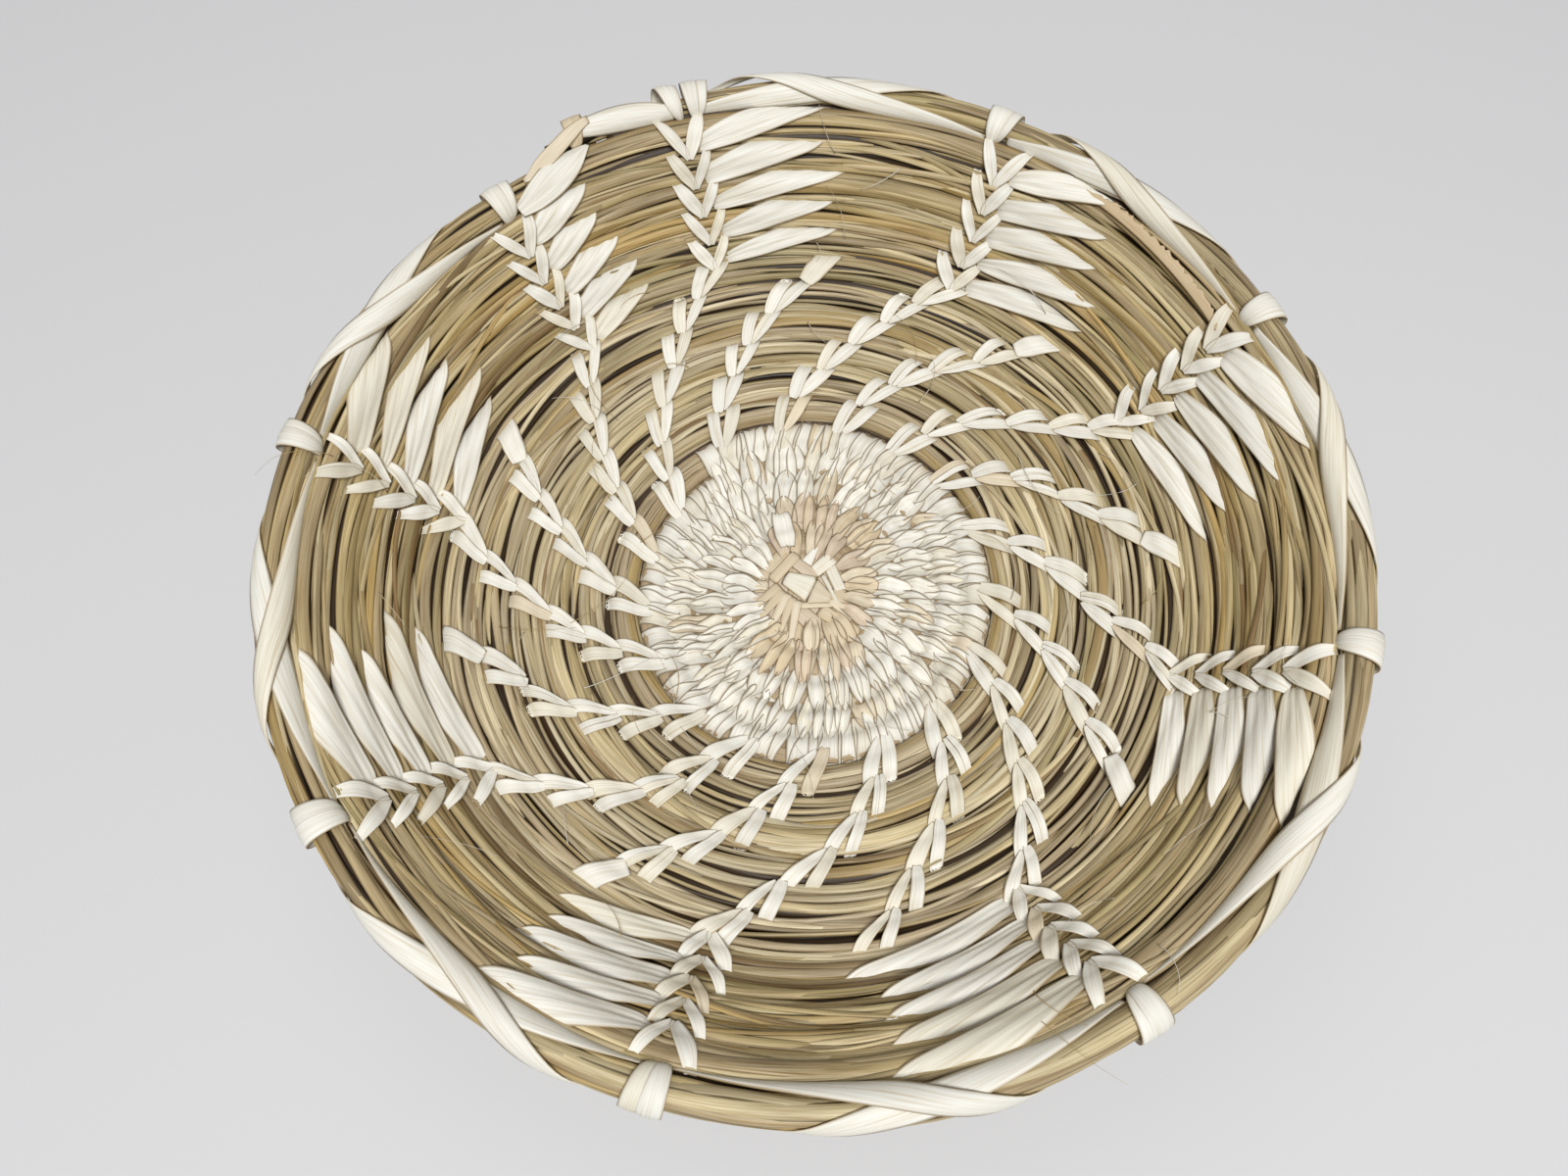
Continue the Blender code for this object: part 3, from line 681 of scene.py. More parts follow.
def add_stray(strips, rng, first_turn, widths, crossing):
    """Add one loose stem that crosses to the next turn or lies along the gap."""
    length = rng.uniform(*STRAY_LENGTH) * MM
    start = rng.uniform(*run_at((first_turn, LAST_TURN - 1.25)))
    run = np.linspace(start, start + length, max(8, round(length / STRAY_STEP)))
    part = np.linspace(0, 1, len(run))
    angle = SEAM_ANGLE + 360 * turn_at(run)
    way = rng.choice((-1, 1))
    if crossing:
        share = way * (-0.42 + (0.84 + rng.uniform(-0.1, 0.25)) * ease(part, 0, 1))
    else:
        share = 0.5 + rng.uniform(-0.08, 0.08) + wander(rng, run, *STRAY_DRIFT)
    ends = 1 - ease(np.minimum(part, 1 - part), 0, 0.12)
    lift = np.maximum(coil_top(share, angle, 1), 1.7 * MM) - 0.25 * MM - MM * ends
    half = rng.uniform(*widths) * MM * (1 - 0.6 * ends)
    rise = lift[:, None] + STEM_RISE * STRAY_FLAT
    rings = place(share[:, None], angle[:, None], half[:, None] * STEM_SIDE, rise)
    tint, seed = stem_tint(rng, run), rng.uniform(0, GRAIN_SHIFT)
    strips.add(rings, run - run[0], STEM_SIDE * 0.7 * MM, tint, STEM_SHADE, seed)


def make_stray_stems(material):
    """The stray stems of both kinds."""
    rng = np.random.default_rng(1100)
    strips = Strips()
    for kind, (count, first_turn, widths) in enumerate(STRAYS):
        for _ in range(count):
            add_stray(strips, rng, first_turn, widths, kind == 0)
    strips.build("stray_stems", material, slot="grass_stems")


def leaf_tint(rng, colours=LEAF_COLOURS, weights=LEAF_WEIGHTS):
    """Colour of one leaf strip."""
    return colours[rng.choice(len(colours), p=weights)] * rng.uniform(0.92, 1.04)


def add_leaf(strips, rng, grid, weights=LEAF_WEIGHTS, **shape):
    """Add a leaf strip with a colour and a grain of its own."""
    add_sheet(strips, grid, leaf_tint(rng, weights=weights), rng.uniform(0, GRAIN_SHIFT), **shape)


def add_arm(strips, rng, cell, apex, line, halves, lifts):
    """One arm of a floor stitch, now and then split into two strands."""
    strands = ((-0.52, 0.5), (0.52, 0.46)) if rng.uniform() < SPLIT_SHARE else ((0, 1),)
    for shift, size in strands:
        moved = line + np.c_[0 * halves, shift * halves]
        grid = drape(cell, apex, moved, halves * size, lifts, dive=0.55, count=26, points=9)
        add_leaf(strips, rng, grid, crown=0.26 * MM * size, pleat=0.035 * MM)


def arm_line(first, length, low, high, bow):
    """Line of an arm: shares of the turn from first on, sideways from low to high, bowed."""
    line = np.c_[first + ARM_PLACES * length, low + ARM_PLACES * (high - low)]
    line[:, 1] += bow * np.sin(math.pi * ARM_PLACES)
    return line


def add_v(strips, rng, cell, apex, onward):
    """A stitch over one turn in two arms, with the next one starting between them."""
    inner = -0.94 if cell == 0 else rng.uniform(-0.76, -0.68)
    start, size = 0.15 * onward, rng.uniform(0.9, 1.3)
    low, high = start + 0.7 * MM, onward + rng.uniform(4, 5.2) * MM
    line = arm_line(inner + 0.04, 0.66 - inner, low, high, 0.4 * MM)
    add_arm(strips, rng, cell, apex, line, FIRST_ARM * size * MM, FIRST_ARM_LIFTS)
    size = rng.uniform(0.95, 1.25)
    low, high = start - 0.7 * MM, onward - rng.uniform(0.2, 2.2) * MM
    line = arm_line(inner, 0.7 - inner, low, high, -0.6 * MM)
    add_arm(strips, rng, cell, apex, line, SECOND_ARM * size * MM, SECOND_ARM_LIFTS)
    add_return(strips, rng, cell, apex, 6 * MM)


def add_floor_stitches(strips, rng, apexes, after):
    """A row's stitches on the floor, each reaching to where the next one starts."""
    for cell, (apex, following) in enumerate(zip(apexes, (*apexes[1:], after))):
        step = math.radians(apex - following) * radius_at(cell + 0.15, apex)
        add_v(strips, rng, cell, apex, float(np.clip(step, *STITCH_REACH)))


def add_return(strips, rng, cell, apex, lean):
    """The same strips on their way back under the turn."""
    for shift, half in ((0, 1.5 * MM), (lean, 1.1 * MM)):
        line = [(share, shift + part * lean) for share, part in RETURN_LINE]
        halves = np.array((0.6, 1, 1, 0.7)) * half
        grid = drape(cell, apex, line, halves, mm(-0.6, 0, 0, -0.4), under=-1)
        add_leaf(strips, rng, grid, crown=-0.2 * MM)


def add_fan(strips, rng, cell, column, leaf_length):
    """A leaf laid out along the wall and, beside it, the upright V that it comes from."""
    shift = rng.uniform(-0.6, 0.6) * MM
    begin, length = rng.uniform(2.2, 3.4) * MM + shift, rng.uniform(0.88, 1.12) * leaf_length
    broad = rng.uniform(2.5, 3.2) * MM
    root = rng.uniform(0.35, 0.8)
    line = np.c_[LEAF_SHARES, begin + LEAF_PLACES * length]
    halves = np.array((root, 0.5 + 0.5 * root, 1, 1.05, 1, 0.85, 0.4)) * broad
    grid = drape(cell, column, line, halves, LEAF_LIFTS, dive=0.44, count=44, points=LEAF_POINTS)
    add_leaf(strips, rng, grid, PALE_WEIGHTS, crown=0.2 * MM, pleat=0.09 * MM)
    for way, reach in ((-MM, rng.uniform(4.6, 6.2)), (MM, rng.uniform(4, 5.4))):
        size = rng.uniform(0.75, 1.12)
        aside = way * np.array((0.3, 0.14 * reach, 0.42 * reach, 0.74 * reach, 1.04 * reach))
        line = np.c_[(-0.86, -0.62, -0.26, 0.14, 0.56), shift + aside]
        halves = np.array((0.5, 1.2, 1.65, 1.5, 0.75)) * size * MM
        lifts = mm(-0.5, 0.15, 0.32, 0.25, 0.05)
        grid = drape(cell, column, line, halves, lifts, count=20, points=9)
        add_leaf(strips, rng, grid, crown=0.3 * MM, pleat=0.03 * MM)
    add_return(strips, rng, cell, column, 3 * MM)


def band(cell, angle, bearings, halves, lifts, sweep, count=34):
    """A strip round the coil's section, sweeping along the coil as it goes."""
    bearing, half, lift, swept = (
        curve_through(values, count)[:, None] for values in (bearings, halves, lifts, sweep))
    spread = angle + swept + np.degrees(ACROSS * half / radius_at(cell, angle))
    step = pitch(turn_of(cell, spread))
    outward = (BUNDLE_ACROSS * step + lift) * np.cos(np.radians(bearing))
    rise = (BUNDLE_UP * step + lift) * np.sin(np.radians(bearing))
    return place(cell, spread, outward, rise)


def add_wrap(strips, rng, angle, broad, lean):
    """Two strips side by side right round the rim, gathered at the inner gap."""
    for part in (-1, 1):
        shifts = WRAP_SHIFTS * broad * part
        sweep = np.degrees(shifts / RIM_RADIUS) + WRAP_SWEEP * lean + rng.uniform(-0.2, 0.2)
        lifts = WRAP_LIFTS + 0.09 * MM * part
        grid = band(rim_cell(angle), angle, WRAP_BEARINGS, WRAP_HALVES * broad, lifts, sweep)
        add_leaf(strips, rng, grid, PALE_WEIGHTS, crown=0.18 * MM, pleat=0.05 * MM)


def make_long_row(number, apexes, column, wrap, leaf_length, material):
    """One long row: its Vs on the floor, its fan on the wall and its wrap on the rim."""
    rng = np.random.default_rng(2000 + number)
    strips, last = Strips(), rim_cell(column)
    add_floor_stitches(strips, rng, apexes, column)
    strips.build(f"floor_stitches_long_{number}", material, f"long_row_{number}")
    strips = Strips()
    for cell in range(len(apexes), last):
        add_fan(strips, rng, cell, column, leaf_length * MM)
    strips.build(f"wall_stitches_{number}", material, f"long_row_{number}")
    strips = Strips()
    wraps = DOUBLE_WRAP if number == 2 else ((wrap, rng.uniform(3.2, 3.7), 1.4),)
    for angle, broad, lean in wraps:
        add_wrap(strips, rng, angle, broad * MM, lean)
    strips.build(f"rim_wrap_{number}", material, f"long_row_{number}")


def make_short_row(number, apexes, end, material):
    """One short row: its Vs and the broad slanted strip that ends it."""
    rng = np.random.default_rng(3000 + number)
    strips = Strips()
    add_floor_stitches(strips, rng, apexes, apexes[-1] - 6 if end is None else end + 3.4)
    if end is not None:
        cell, slant = len(apexes), 5.5 * MM
        line = [(share, share * slant) for share in END_STRIP_SHARES]
        halves = np.array((0.7, 0.95, 1, 1, 1)) * (rng.uniform(2.4, 2.9) * MM)
        grid = drape(cell, end, line, halves, mm(-0.4, 0.1, 0.1, 0.1, 0), count=15)
        add_leaf(strips, rng, grid, crown=0.15 * MM)
        add_return(strips, rng, cell, end, 3 * MM)
    strips.build(f"floor_stitches_short_{number}", material, f"short_row_{number}")


def lace(start, way, reach, bearings, halves, lifts, count=52):
    """A strip along the rim that turns round the rim's section as it goes."""
    cell = rim_cell(start)
    bearing, half, lift = (
        curve_through(values, count)[:, None] for values in (bearings, halves, lifts))
    angle = start + way * reach * np.linspace(0, 1, count)[:, None]
    step = pitch(np.minimum(turn_of(cell, angle), LAST_TURN))
    around = np.radians(bearing) + ACROSS * half / (RIM_GIRTH * step)
    wide = np.where(np.cos(around) > 0, RIM_ACROSS, BUNDLE_ACROSS)
    outward = (wide * step + lift) * np.cos(around)
    rise = (BUNDLE_UP * step + lift) * np.sin(around)
    return place(cell, angle, outward, rise)


def add_rim_strip(strips, rng, *course):
    """A strip along the rim."""
    add_leaf(strips, rng, lace(*course), PALE_WEIGHTS, crown=0.15 * MM, pleat=0.03 * MM)


def make_rim_strips(material):
    """Between two wraps, strips laid outward over the rim and one laced back."""
    for number, wrap in enumerate(RIM_WRAPS[1:], 2):
        rng = np.random.default_rng(4000 + number)
        following = RIM_WRAPS[number % len(RIM_WRAPS)]
        reach = min((wrap - following) % 360 - 5, 35)
        strips = Strips()
        for drop, size in ((0, 1), (26, 0.8)):
            halves, lifts = LAID_HALVES * size * MM, LAID_LIFTS - drop * 0.006 * MM
            add_rim_strip(strips, rng, wrap - WRAP_ROOM, -1, reach * (1 - 0.004 * drop),
                          LAID_BEARINGS + drop, halves, lifts)
        strips.build(f"rim_leaf_strip_{number}", material, f"rim_leaf_{number}")
        strips = Strips()
        add_rim_strip(strips, rng, following + WRAP_ROOM, 1, reach,
                      LACE_BEARINGS, LACE_HALVES, LACE_LIFTS)
        strips.build(f"rim_lace_strip_{number}", material, f"rim_lace_{number}")


def close_tint(rng, turn, angle):
    """Colour of a close stitch: tan by the knot and in a patch above it, cream elsewhere."""
    bearing = angle % 360
    tan = turn < -3.98 or (turn < -3.45 and 235 < bearing < 320)
    patch = turn < -3.05 and 30 < bearing < 108
    if (tan and rng.uniform() < 0.85) or (patch and rng.uniform() < 0.95):
        return leaf_tint(rng, TAN_COLOURS, TAN_WEIGHTS)
    return leaf_tint(rng, weights=CLOSE_WEIGHTS)


def add_lobe(strips, rng, cell, angle, inner, tail, lean, start, half, shape, tint, crown):
    """One lobe of a close stitch: its inner end blunt, its outer end as its shape says."""
    shares = np.array((0, 0.1, 0.28, 0.5, 0.72, 0.88, 1))
    line = np.c_[inner + shares * (tail - inner), start + shares * lean]
    lifts = mm(-0.6, 0, 0.36, 0.44, 0.34, 0.18, -0.25) + rng.uniform(-0.2, 0.2) * MM
    grid = drape(cell, angle, line, np.array(shape) * half, lifts, dive=1.1, inner=CLOSE_START,
                 outer=CLOSE_BRIDGE, count=19, points=9)
    tint, seed = tint * rng.uniform(0.98, 1.05), rng.uniform(0, GRAIN_SHIFT)
    add_sheet(strips, grid, tint, seed, crown=crown, thickness=0.4 * MM, pleat=0.02 * MM)


def add_outer_stitch(strips, rng, cell, angle, inner, lean, spacing, tint):
    """A broad stitch of the disc's outermost row."""
    half = spacing * rng.uniform(0.58, 0.66)
    line = np.c_[(inner - 0.06, -0.48, -0.12, 0.3, 0.84), np.array((0, 0.1, 0.3, 0.65, 1)) * lean]
    halves = np.array((0.66, 0.98, 1.02, 1.02, 0.98)) * half
    lifts = mm(-0.7, 0.3, 0.25, 0.12, 0) + rng.uniform(-0.15, 0.2) * MM
    grid = drape(cell, angle, line, halves, lifts, inner=CLOSE_START, count=20, points=11)
    add_sheet(strips, grid, tint, rng.uniform(0, GRAIN_SHIFT), crown=0.5 * MM, thickness=0.35 * MM,
              pleat=0.04 * MM)


def add_close_stitch(strips, rng, cell, turn, angle, spacing):
    """A close stitch in one or two lobes, and its way back underneath."""
    tint = close_tint(rng, turn, angle)
    lean = rng.uniform(-0.6, 5) * MM
    inner, tail = rng.uniform(-0.86, -0.68), rng.uniform(0.66, 0.92)
    if turn > OUTER_ROW:
        add_outer_stitch(strips, rng, cell, angle, inner, lean, spacing, tint)
    elif turn < KNOT_ROW:
        add_lobe(strips, rng, cell, angle, -0.68, rng.uniform(0.6, 0.8), lean, 0, spacing * 0.6,
                 FAN_SHAPE, tint, 0.7 * MM)
    elif spacing > 2.9 * MM and rng.uniform() < SPLIT_STITCH_SHARE:
        for way in (-1, 1):
            ends = inner + rng.uniform(-0.06, 0.06), tail + rng.uniform(-0.12, 0.12)
            shift = 0.25 * way * spacing
            add_lobe(strips, rng, cell, angle, *ends, lean + shift, shift, 0.36 * spacing,
                     LOBE_SHAPE, tint, 0.8 * MM)
    else:
        add_lobe(strips, rng, cell, angle, inner, tail, lean, 0, 0.65 * spacing,
                 LOBE_SHAPE, tint, 1.15 * MM)
    line = [(-0.6, 0), (-0.2, 0.2 * lean), (0.2, 0.5 * lean), (0.6, 0.7 * lean)]
    halves = np.array((0.32, 0.6, 0.6, 0.36)) * spacing
    grid = drape(cell, angle, line, halves, mm(-0.3, 0, 0, -0.4), under=-1)
    add_sheet(strips, grid, tint, rng.uniform(0, GRAIN_SHIFT), crown=-0.15 * MM)


def add_block_stitch(strips, cell):
    """The broad cream stitch that stands beside the knot."""
    line = np.c_[(-0.3, 0.05, 0.4, 0.75, 1.05), mm(0, 0.4, 0.9, 1.4, 1.8)]
    halves = mm(1.7, 2.4, 2.4, 2.3, 1.9)
    lifts = mm(0.9, 1.6, 1.7, 1.6, 0.3)
    grid = drape(cell, 113, line, halves, lifts, dive=1.1, inner=CLOSE_START, outer=CLOSE_BRIDGE,
                 count=24, points=9)
    add_sheet(strips, grid, CREAM, 5, crown=0.7 * MM, thickness=0.4 * MM, pleat=0.05 * MM)


def make_close_stitches(material):
    """The disc: stitches side by side, each rising between the outer ends of the row inside it."""
    rng = np.random.default_rng(5000)
    rows = {}
    run, last = float(run_at(FIRST_TURN - 0.02)), float(run_at(0))
    while run < last:
        turn = float(turn_at(run))
        cell = math.floor(turn)
        angle = SEAM_ANGLE + 360 * (turn - cell)
        spacing = rng.uniform(*(CLOSE_SPACING if turn < OUTER_ROW else OUTER_SPACING)) * MM
        add_close_stitch(rows.setdefault(cell, Strips()), rng, cell, turn, angle, spacing)
        run += spacing
    add_block_stitch(rows[-4], -4)
    for number, cell in enumerate(sorted(rows), 1):
        rows[cell].build(f"close_stitches_{number}", material, "close_stitching")


def make_covered_coil(material):
    """The bundle where the close stitches hide it."""
    strips = Strips()
    turn = np.linspace(FIRST_TURN, 0.1, 300)
    ring = np.radians(np.arange(0, 360, 22.5))
    up = np.sign(np.sin(ring)) * np.abs(np.sin(ring)) ** BUNDLE_ROUND
    angle = SEAM_ANGLE + 360 * turn
    rings = place(0, angle[:, None], COVERED_ACROSS * np.cos(ring), COVERED_UP * up)
    run = run_at(turn)
    strips.add(rings, run - run[0], COVERED_ACROSS * ring, COVERED, painted_shade=0, seed=3)
    strips.build("covered_coil", material, "grass_bundle", slot="grass_stems")


KNOT_POINTS = 12
KNOT_TUCK = 0.6
# Twice the height of the knot's middle, to turn a strip over to its bottom.
KNOT_FLIP = 5.5
# The start knot's strips in mm: x and y of start and end, half widths, heights, colour.
KNOT_BASE = (
    (-13.5, -5.5, 8.5, -5.5, 2.6, 2.6, 3.3, 3.5, TAN),
    (-14, -1, 9, -1, 2.6, 2.6, 3.4, 3.6, ROSY),
    (-14, 3.5, 9, 3.5, 2.6, 2.6, 3.3, 3.5, TAN),
    (-12.5, 8, 7.5, 8, 2.4, 2.4, 3.1, 3.3, ROSY),
    (-12, -10, 4, -10, 2.4, 2.4, 3, 3.2, TAN),
    (-11.2, -9.5, -11.2, 8.5, 2.5, 2.5, 3.6, 3.6, TAN),
    (-6.8, -12, -6.8, 10.5, 2.5, 2.5, 3.7, 3.7, ROSY),
    (-2.2, -12, -2.2, 11, 2.5, 2.5, 3.8, 3.8, TAN),
    (2.4, -10, 2.4, 11, 2.5, 2.5, 3.8, 3.8, ROSY),
    (6.4, -7.5, 6.4, 9.5, 2.2, 2.2, 3.6, 3.6, TAN),
)
KNOT_TOP = (
    (-8.8, 4.6, -13.4, 5.4, 1.3, 1.1, 4.3, 4.1, TAN),
    (-9.2, 1.8, -13.8, 2.2, 1.2, 1.2, 4.2, 4.2, WARM_CREAM),
    (-9, -0.8, -13.6, -1.2, 1.2, 1.1, 4.2, 4.2, ROSY),
    (-9.8, -8.4, -5.6, -12.6, 1.3, 1, 4.1, 4.2, TAN),
    (-5.4, -9.6, -3.6, -13.6, 1.3, 1, 4.2, 4.2, WARM_CREAM),
    (-2.4, -4.2, 4.4, -10.8, 1.9, 2.7, 4.5, 4.5, ROSY),
    (2.6, -4.2, 11.8, -9.8, 1.9, 1.2, 4.6, 4.5, TAN),
    (5.6, 0.8, 12.6, -4.6, 2, 1.6, 4.5, 4.6, TAN),
    (5.2, -1.6, 10.8, -6.6, 1.2, 1, 4.6, 4.6, WARM_CREAM),
    (-1.9, -3.3, 6, -3.1, 0.8, 0.5, 4.75, 4.65, WARM_CREAM),
    (-6.4, 1.6, -12.2, -3.2, 1.35, 0.8, 4.7, 4.4, TAN),
    (-5.6, 0.6, -11.3, -6.6, 1.35, 0.7, 4.75, 4.4, TAN),
    (-4.5, -0.2, -8.7, -8.7, 1.35, 0.7, 4.8, 4.4, WARM_CREAM),
    (-3.6, -1, -6.3, -9.6, 1.3, 0.6, 4.85, 4.45, TAN),
    (-2.4, -1.8, -3.9, -11.8, 1.2, 0.7, 4.9, 4.5, WARM_CREAM),
    (5, 7.2, 7.9, 0.2, 1.5, 1.4, 4.5, 4.6, IVORY),
    (-0.4, 7.2, 2.6, 12.2, 1.5, 0.4, 4.5, 4.9, CREAM),
    (1.4, 5, 6, 9.2, 1.6, 1.9, 4.8, 4.5, IVORY),
    (3.4, 4.6, 7.3, -3.3, 0.55, 0.4, 4.85, 4.6, IVORY),
    (-10.6, 9.4, -5.2, 8.4, 1.5, 1.5, 4.2, 4.4, RUSSET),
    (-9.6, 5.6, -5, 11, 1.5, 1.5, 4.5, 4.5, TAN),
    (-3.6, 8.2, 2, 3.7, 1.4, 1.6, 4.7, 4.8, ROSY),
    (-8.2, 2.9, -2.5, 9.8, 1.4, 1.3, 5, 4.9, TAN),
    (0.9, 0.3, 5.3, -1.6, 3.6, 1, 4.95, 4.8, WARM_CREAM),
    (-5.4, 3.7, 0.85, 0.65, 1.7, 3.5, 4.95, 5.25, IVORY),
)


def add_knot_strip(strips, rng, entry, under):
    """One flat strip of the knot on its top or, turned over, on its bottom."""
    start, end = np.array(entry[:2]), np.array(entry[2:4])
    first, last, low, high, colour = entry[4:]
    shares = np.linspace(0, 1, KNOT_POINTS)[:, None]
    middle = (1 - shares) * start + shares * end
    x, y = unit(end - start)
    aside = ACROSS * (first + (last - first) * shares)
    tuck = KNOT_TUCK * (ease(shares, 0.88, 1) + 1 - ease(shares, 0, 0.12))
    rise = low + (high - low) * shares - tuck
    rise = rise if under > 0 else KNOT_FLIP - rise
    grid = np.stack(
        [middle[:, :1] - aside * y, middle[:, 1:] + aside * x, rise + 0 * aside], axis=-1)
    add_sheet(strips, grid * MM, colour * rng.uniform(0.93, 1.05), rng.uniform(0, GRAIN_SHIFT),
              crown=0.12 * MM * under, pleat=0.03 * MM)


def make_knot(material):
    """The plaited start knot, its strips crossing over and under."""
    rng = np.random.default_rng(7000)
    strips = Strips()
    for entry in KNOT_BASE + KNOT_TOP:
        add_knot_strip(strips, rng, entry, 1)
    for entry in KNOT_BASE:
        add_knot_strip(strips, rng, entry, -1)
    strips.build("start_knot_plait", material, "start_knot", slot="aged_leaf")


# The strip bound round the coil's end, as for the wraps.
BIND_ANGLE = 118.96
BIND_BEARINGS = (222, 175, 120, 60, 0, -60, -110, -165)
BIND_HALVES = np.array((0.5, 0.6, 0.8, 1, 1, 0.95, 0.7, 0.5)) * 2.4 * MM
FOLD_POINTS = 18


def add_binding(strips):
    """The strips bound round the coil's end, laid along its top and folded over it."""
    count = len(BIND_BEARINGS)
    grid = band(12, BIND_ANGLE, BIND_BEARINGS, BIND_HALVES, np.full(count, -0.1 * MM),
                np.linspace(1, -1.5, count))
    add_sheet(strips, grid, TAN, 4, crown=0.1 * MM)
    halves, lifts = mm(1.7, 2.4, 2.9, 3.1, 2.8, 1.9), mm(0.4, 0.5, 0.4, 0.1, -0.3, -0.8)
    grid = lace(107, 1, 12.6, (138, 128, 119, 110, 102, 94), halves, lifts)
    add_sheet(strips, grid, CREAM, 14, crown=0.15 * MM, pleat=0.04 * MM)
    across, half, lift = (curve_through(values, FOLD_POINTS)[:, None] for values in (
        (12.1, 11.86, 11.58, 11.36, 11.2), (0.9, 1.7, 1.9, 1.7, 0.5), (3.3, 3.5, 3.2, 3.3, 2.4)))
    angle = np.linspace(117, 127.5, FOLD_POINTS)[:, None]
    grid = place(across, angle, ACROSS * half * MM, lift * MM)
    add_sheet(strips, grid, WARM_CREAM, 34, crown=0.15 * MM)


def make_coil_end(material):
    """The strips on the coil's tapered end and the leaf beside it."""
    strips = Strips()
    add_binding(strips)
    strips.build("end_binding_strip", material, "rim_end_binding")
    strips = Strips()
    line = np.c_[(-0.46, -0.34, -0.12, 0.14, 0.42), mm(2.2, 7, 13, 19, 25)]
    halves = mm(1.3, 2.5, 3.1, 2.5, 0.4)
    lifts = mm(0.4, 0.6, 0.7, 0.6, 0.3)
    grid = drape(11, 131.3, line, halves, lifts, count=28, points=LEAF_POINTS)
    rng = np.random.default_rng(8000)
    add_sheet(strips, grid, CREAM * rng.uniform(0.98, 1), 24, crown=0.2 * MM, pleat=0.09 * MM)
    strips.build("end_leaf", material)


def make_torn_leaf(material):
    """A loose, ragged tan leaf along the turn below the rim."""
    rng = np.random.default_rng(8500)
    strips = Strips()
    part = np.linspace(0, 1, 60)
    angle = 53 - 25 * part
    across = rim_cell(40) - 0.72 - 0.42 * part
    ragged = 1 + wander(rng, part, 0.06, 0.5)
    half = 1.35 * MM * np.minimum(1, 6 * np.minimum(part, 1 - part)) * ragged
    low = np.where(ACROSS > 0, half[:, None], 1.2 * MM)
    lift = np.maximum(coil_top(across, angle, 1), 2.3 * MM) + 0.35 * MM
    grid = place(across[:, None], angle[:, None], ACROSS * low, lift[:, None])
    add_sheet(strips, grid, TAN * (0.86, 0.8, 0.72), 3, crown=0.1 * MM)
    strips.build("torn_leaf", material)


def make_fibres(material):
    """Loose hairs that stand off the stitches and stems."""
    rng = np.random.default_rng(9000)
    strips = Strips()
    part = np.linspace(0, 1, FIBRE_POINTS)
    ring = np.radians((0, 120, 240))
    section = np.stack([np.cos(ring), np.sin(ring), 0.6 * np.sin(ring)], axis=-1)
    for _ in range(FIBRES):
        turn = rng.uniform(-3.5, LAST_TURN - 0.6)
        length = rng.uniform(6, 22) * MM
        bend = rng.uniform(0, 2 * math.pi) + rng.uniform(-1.6, 1.6) * part
        step = length / (FIBRE_POINTS - 1)
        run = np.cumsum(np.full(FIBRE_POINTS, step))
        outward = np.cumsum(np.cos(bend)) * step
        sideways = np.cumsum(np.sin(bend)) * step
        lift = 2.8 * MM + rng.uniform(0.8, 2.2) * MM * np.sin(math.pi * part)
        lift = lift + rng.uniform(0, 0.6) * MM
        turned = np.degrees(sideways / float(radius_at(turn, SEAM_ANGLE)))
        angle = SEAM_ANGLE + 360 * (turn % 1) + turned
        centre = place(math.floor(turn) + outward / float(pitch(turn)), angle, 0, lift)
        thick = rng.uniform(0.07, 0.13) * MM * (1 - 0.7 * part)
        rings = centre[:, None] + section[None, :] * thick[:, None, None]
        tint = (WARM_CREAM, CREAM, GOLD)[rng.integers(3)]
        strips.add(rings, run, 0.1 * MM * ring, tint, painted_shade=0, seed=1)
    strips.build("loose_fibres", material)


FLOOR_SIZE = 6
FLOOR_HEIGHT = -0.2 * MM
FLOOR_COLOUR = (0.68, 0.68, 0.69, 1)
FLOOR_ROUGHNESS = 0.9
WORLD_STRENGTH = 0.15
# Lamps: name, place in metres, power in watts, size in metres.
LAMPS = (
    ("key", (0.1, -0.5, 1.3), 17, 0.5),
    ("fill", (-0.3, 0.6, 1.2), 2.5, 1.2),
)


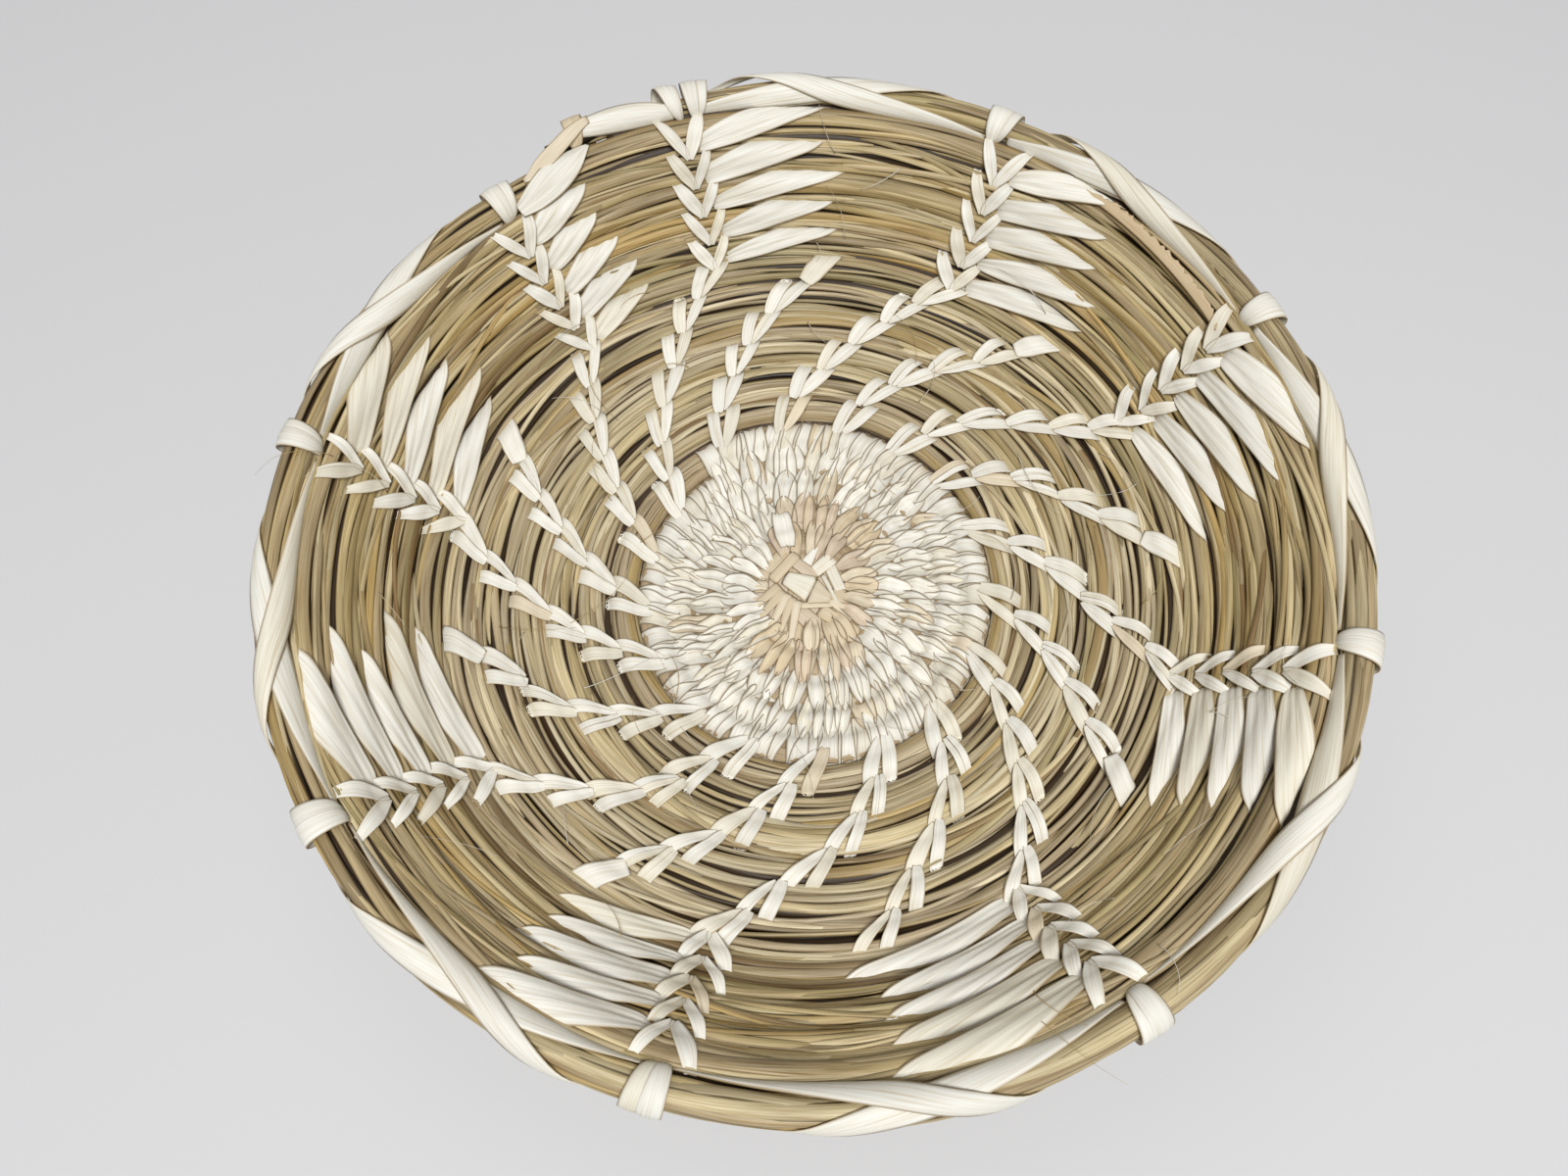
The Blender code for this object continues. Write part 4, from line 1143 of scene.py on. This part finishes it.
def make_stage():
    """A plain pale floor and soft studio light."""
    bpy.ops.mesh.primitive_plane_add(size=FLOOR_SIZE, location=(0, 0, FLOOR_HEIGHT))
    floor = bpy.context.active_object
    floor.name = "floor"
    material = bpy.data.materials.new("floor")
    material.use_nodes = True
    shader = material.node_tree.nodes["Principled BSDF"]
    feed(shader, {"Base Color": FLOOR_COLOUR, "Roughness": FLOOR_ROUGHNESS})
    floor.data.materials.append(material)
    world = bpy.data.worlds.new("studio")
    bpy.context.scene.world = world
    world.use_nodes = True
    feed(world.node_tree.nodes["Background"], {"Color": WHITE, "Strength": WORLD_STRENGTH})
    for name, position, power, size in LAMPS:
        lamp = bpy.data.lights.new(name, "AREA")
        lamp.energy, lamp.size = power, size
        holder = new_object(name, lamp)
        holder.location = position
        x, y, z = position
        holder.rotation_euler = (math.atan2(math.hypot(x, y), z), 0, math.atan2(x, -y))


# The photograph's camera: its distance, its tilt off the vertical and its turn.
CAMERA_DISTANCE = 271 * MM
CAMERA_TILT = 21.9
CAMERA_TURN = -3.2
CAMERA_AIM_HEIGHT = 8.4 * MM
CAMERA_NEAR = 10 * MM
CAMERA_LENS = 27
CAMERA_SHIFT = (-0.0153125, -0.0009375)


def make_camera():
    """The camera at the photograph's viewpoint."""
    camera = new_object("camera", bpy.data.cameras.new("camera"))
    camera.data.lens = CAMERA_LENS
    camera.data.clip_start = CAMERA_NEAR
    camera.data.shift_x, camera.data.shift_y = CAMERA_SHIFT
    turn = Matrix.Rotation(math.radians(CAMERA_TURN), 3, "Z")
    roll = Matrix.Rotation(math.radians(-CAMERA_TURN), 3, "Z")
    look = turn @ Matrix.Rotation(math.radians(CAMERA_TILT), 3, "X") @ roll
    back = look @ Vector((0, 0, CAMERA_DISTANCE))
    camera.matrix_world = look.to_4x4()
    camera.matrix_world.translation = back + Vector((0, 0, CAMERA_AIM_HEIGHT))
    bpy.context.scene.camera = camera


def main():
    """Make every piece, the stage and the camera."""
    grass = make_material("grass", *GRASS_FINISH)
    leaf = make_material("leaf", *LEAF_FINISH)
    # The close stitches' leaf, with deeper painted shade between the lobes.
    shaded_lobes = make_material("lobe_leaf_shaded", *LOBE_SHADE_FINISH)
    make_stems(grass)
    make_gap_stem(grass)
    make_stray_stems(grass)
    make_covered_coil(grass)
    make_close_stitches(shaded_lobes)
    make_knot(leaf)
    for number, row in enumerate(LONG_ROWS, 1):
        make_long_row(number, *row, leaf)
    for number, row in enumerate(SHORT_ROWS, 1):
        make_short_row(number, *row, leaf)
    make_rim_strips(leaf)
    make_coil_end(leaf)
    make_torn_leaf(leaf)
    make_fibres(leaf)
    make_stage()
    make_camera()
    bpy.context.scene.view_settings.view_transform = "Standard"


main()
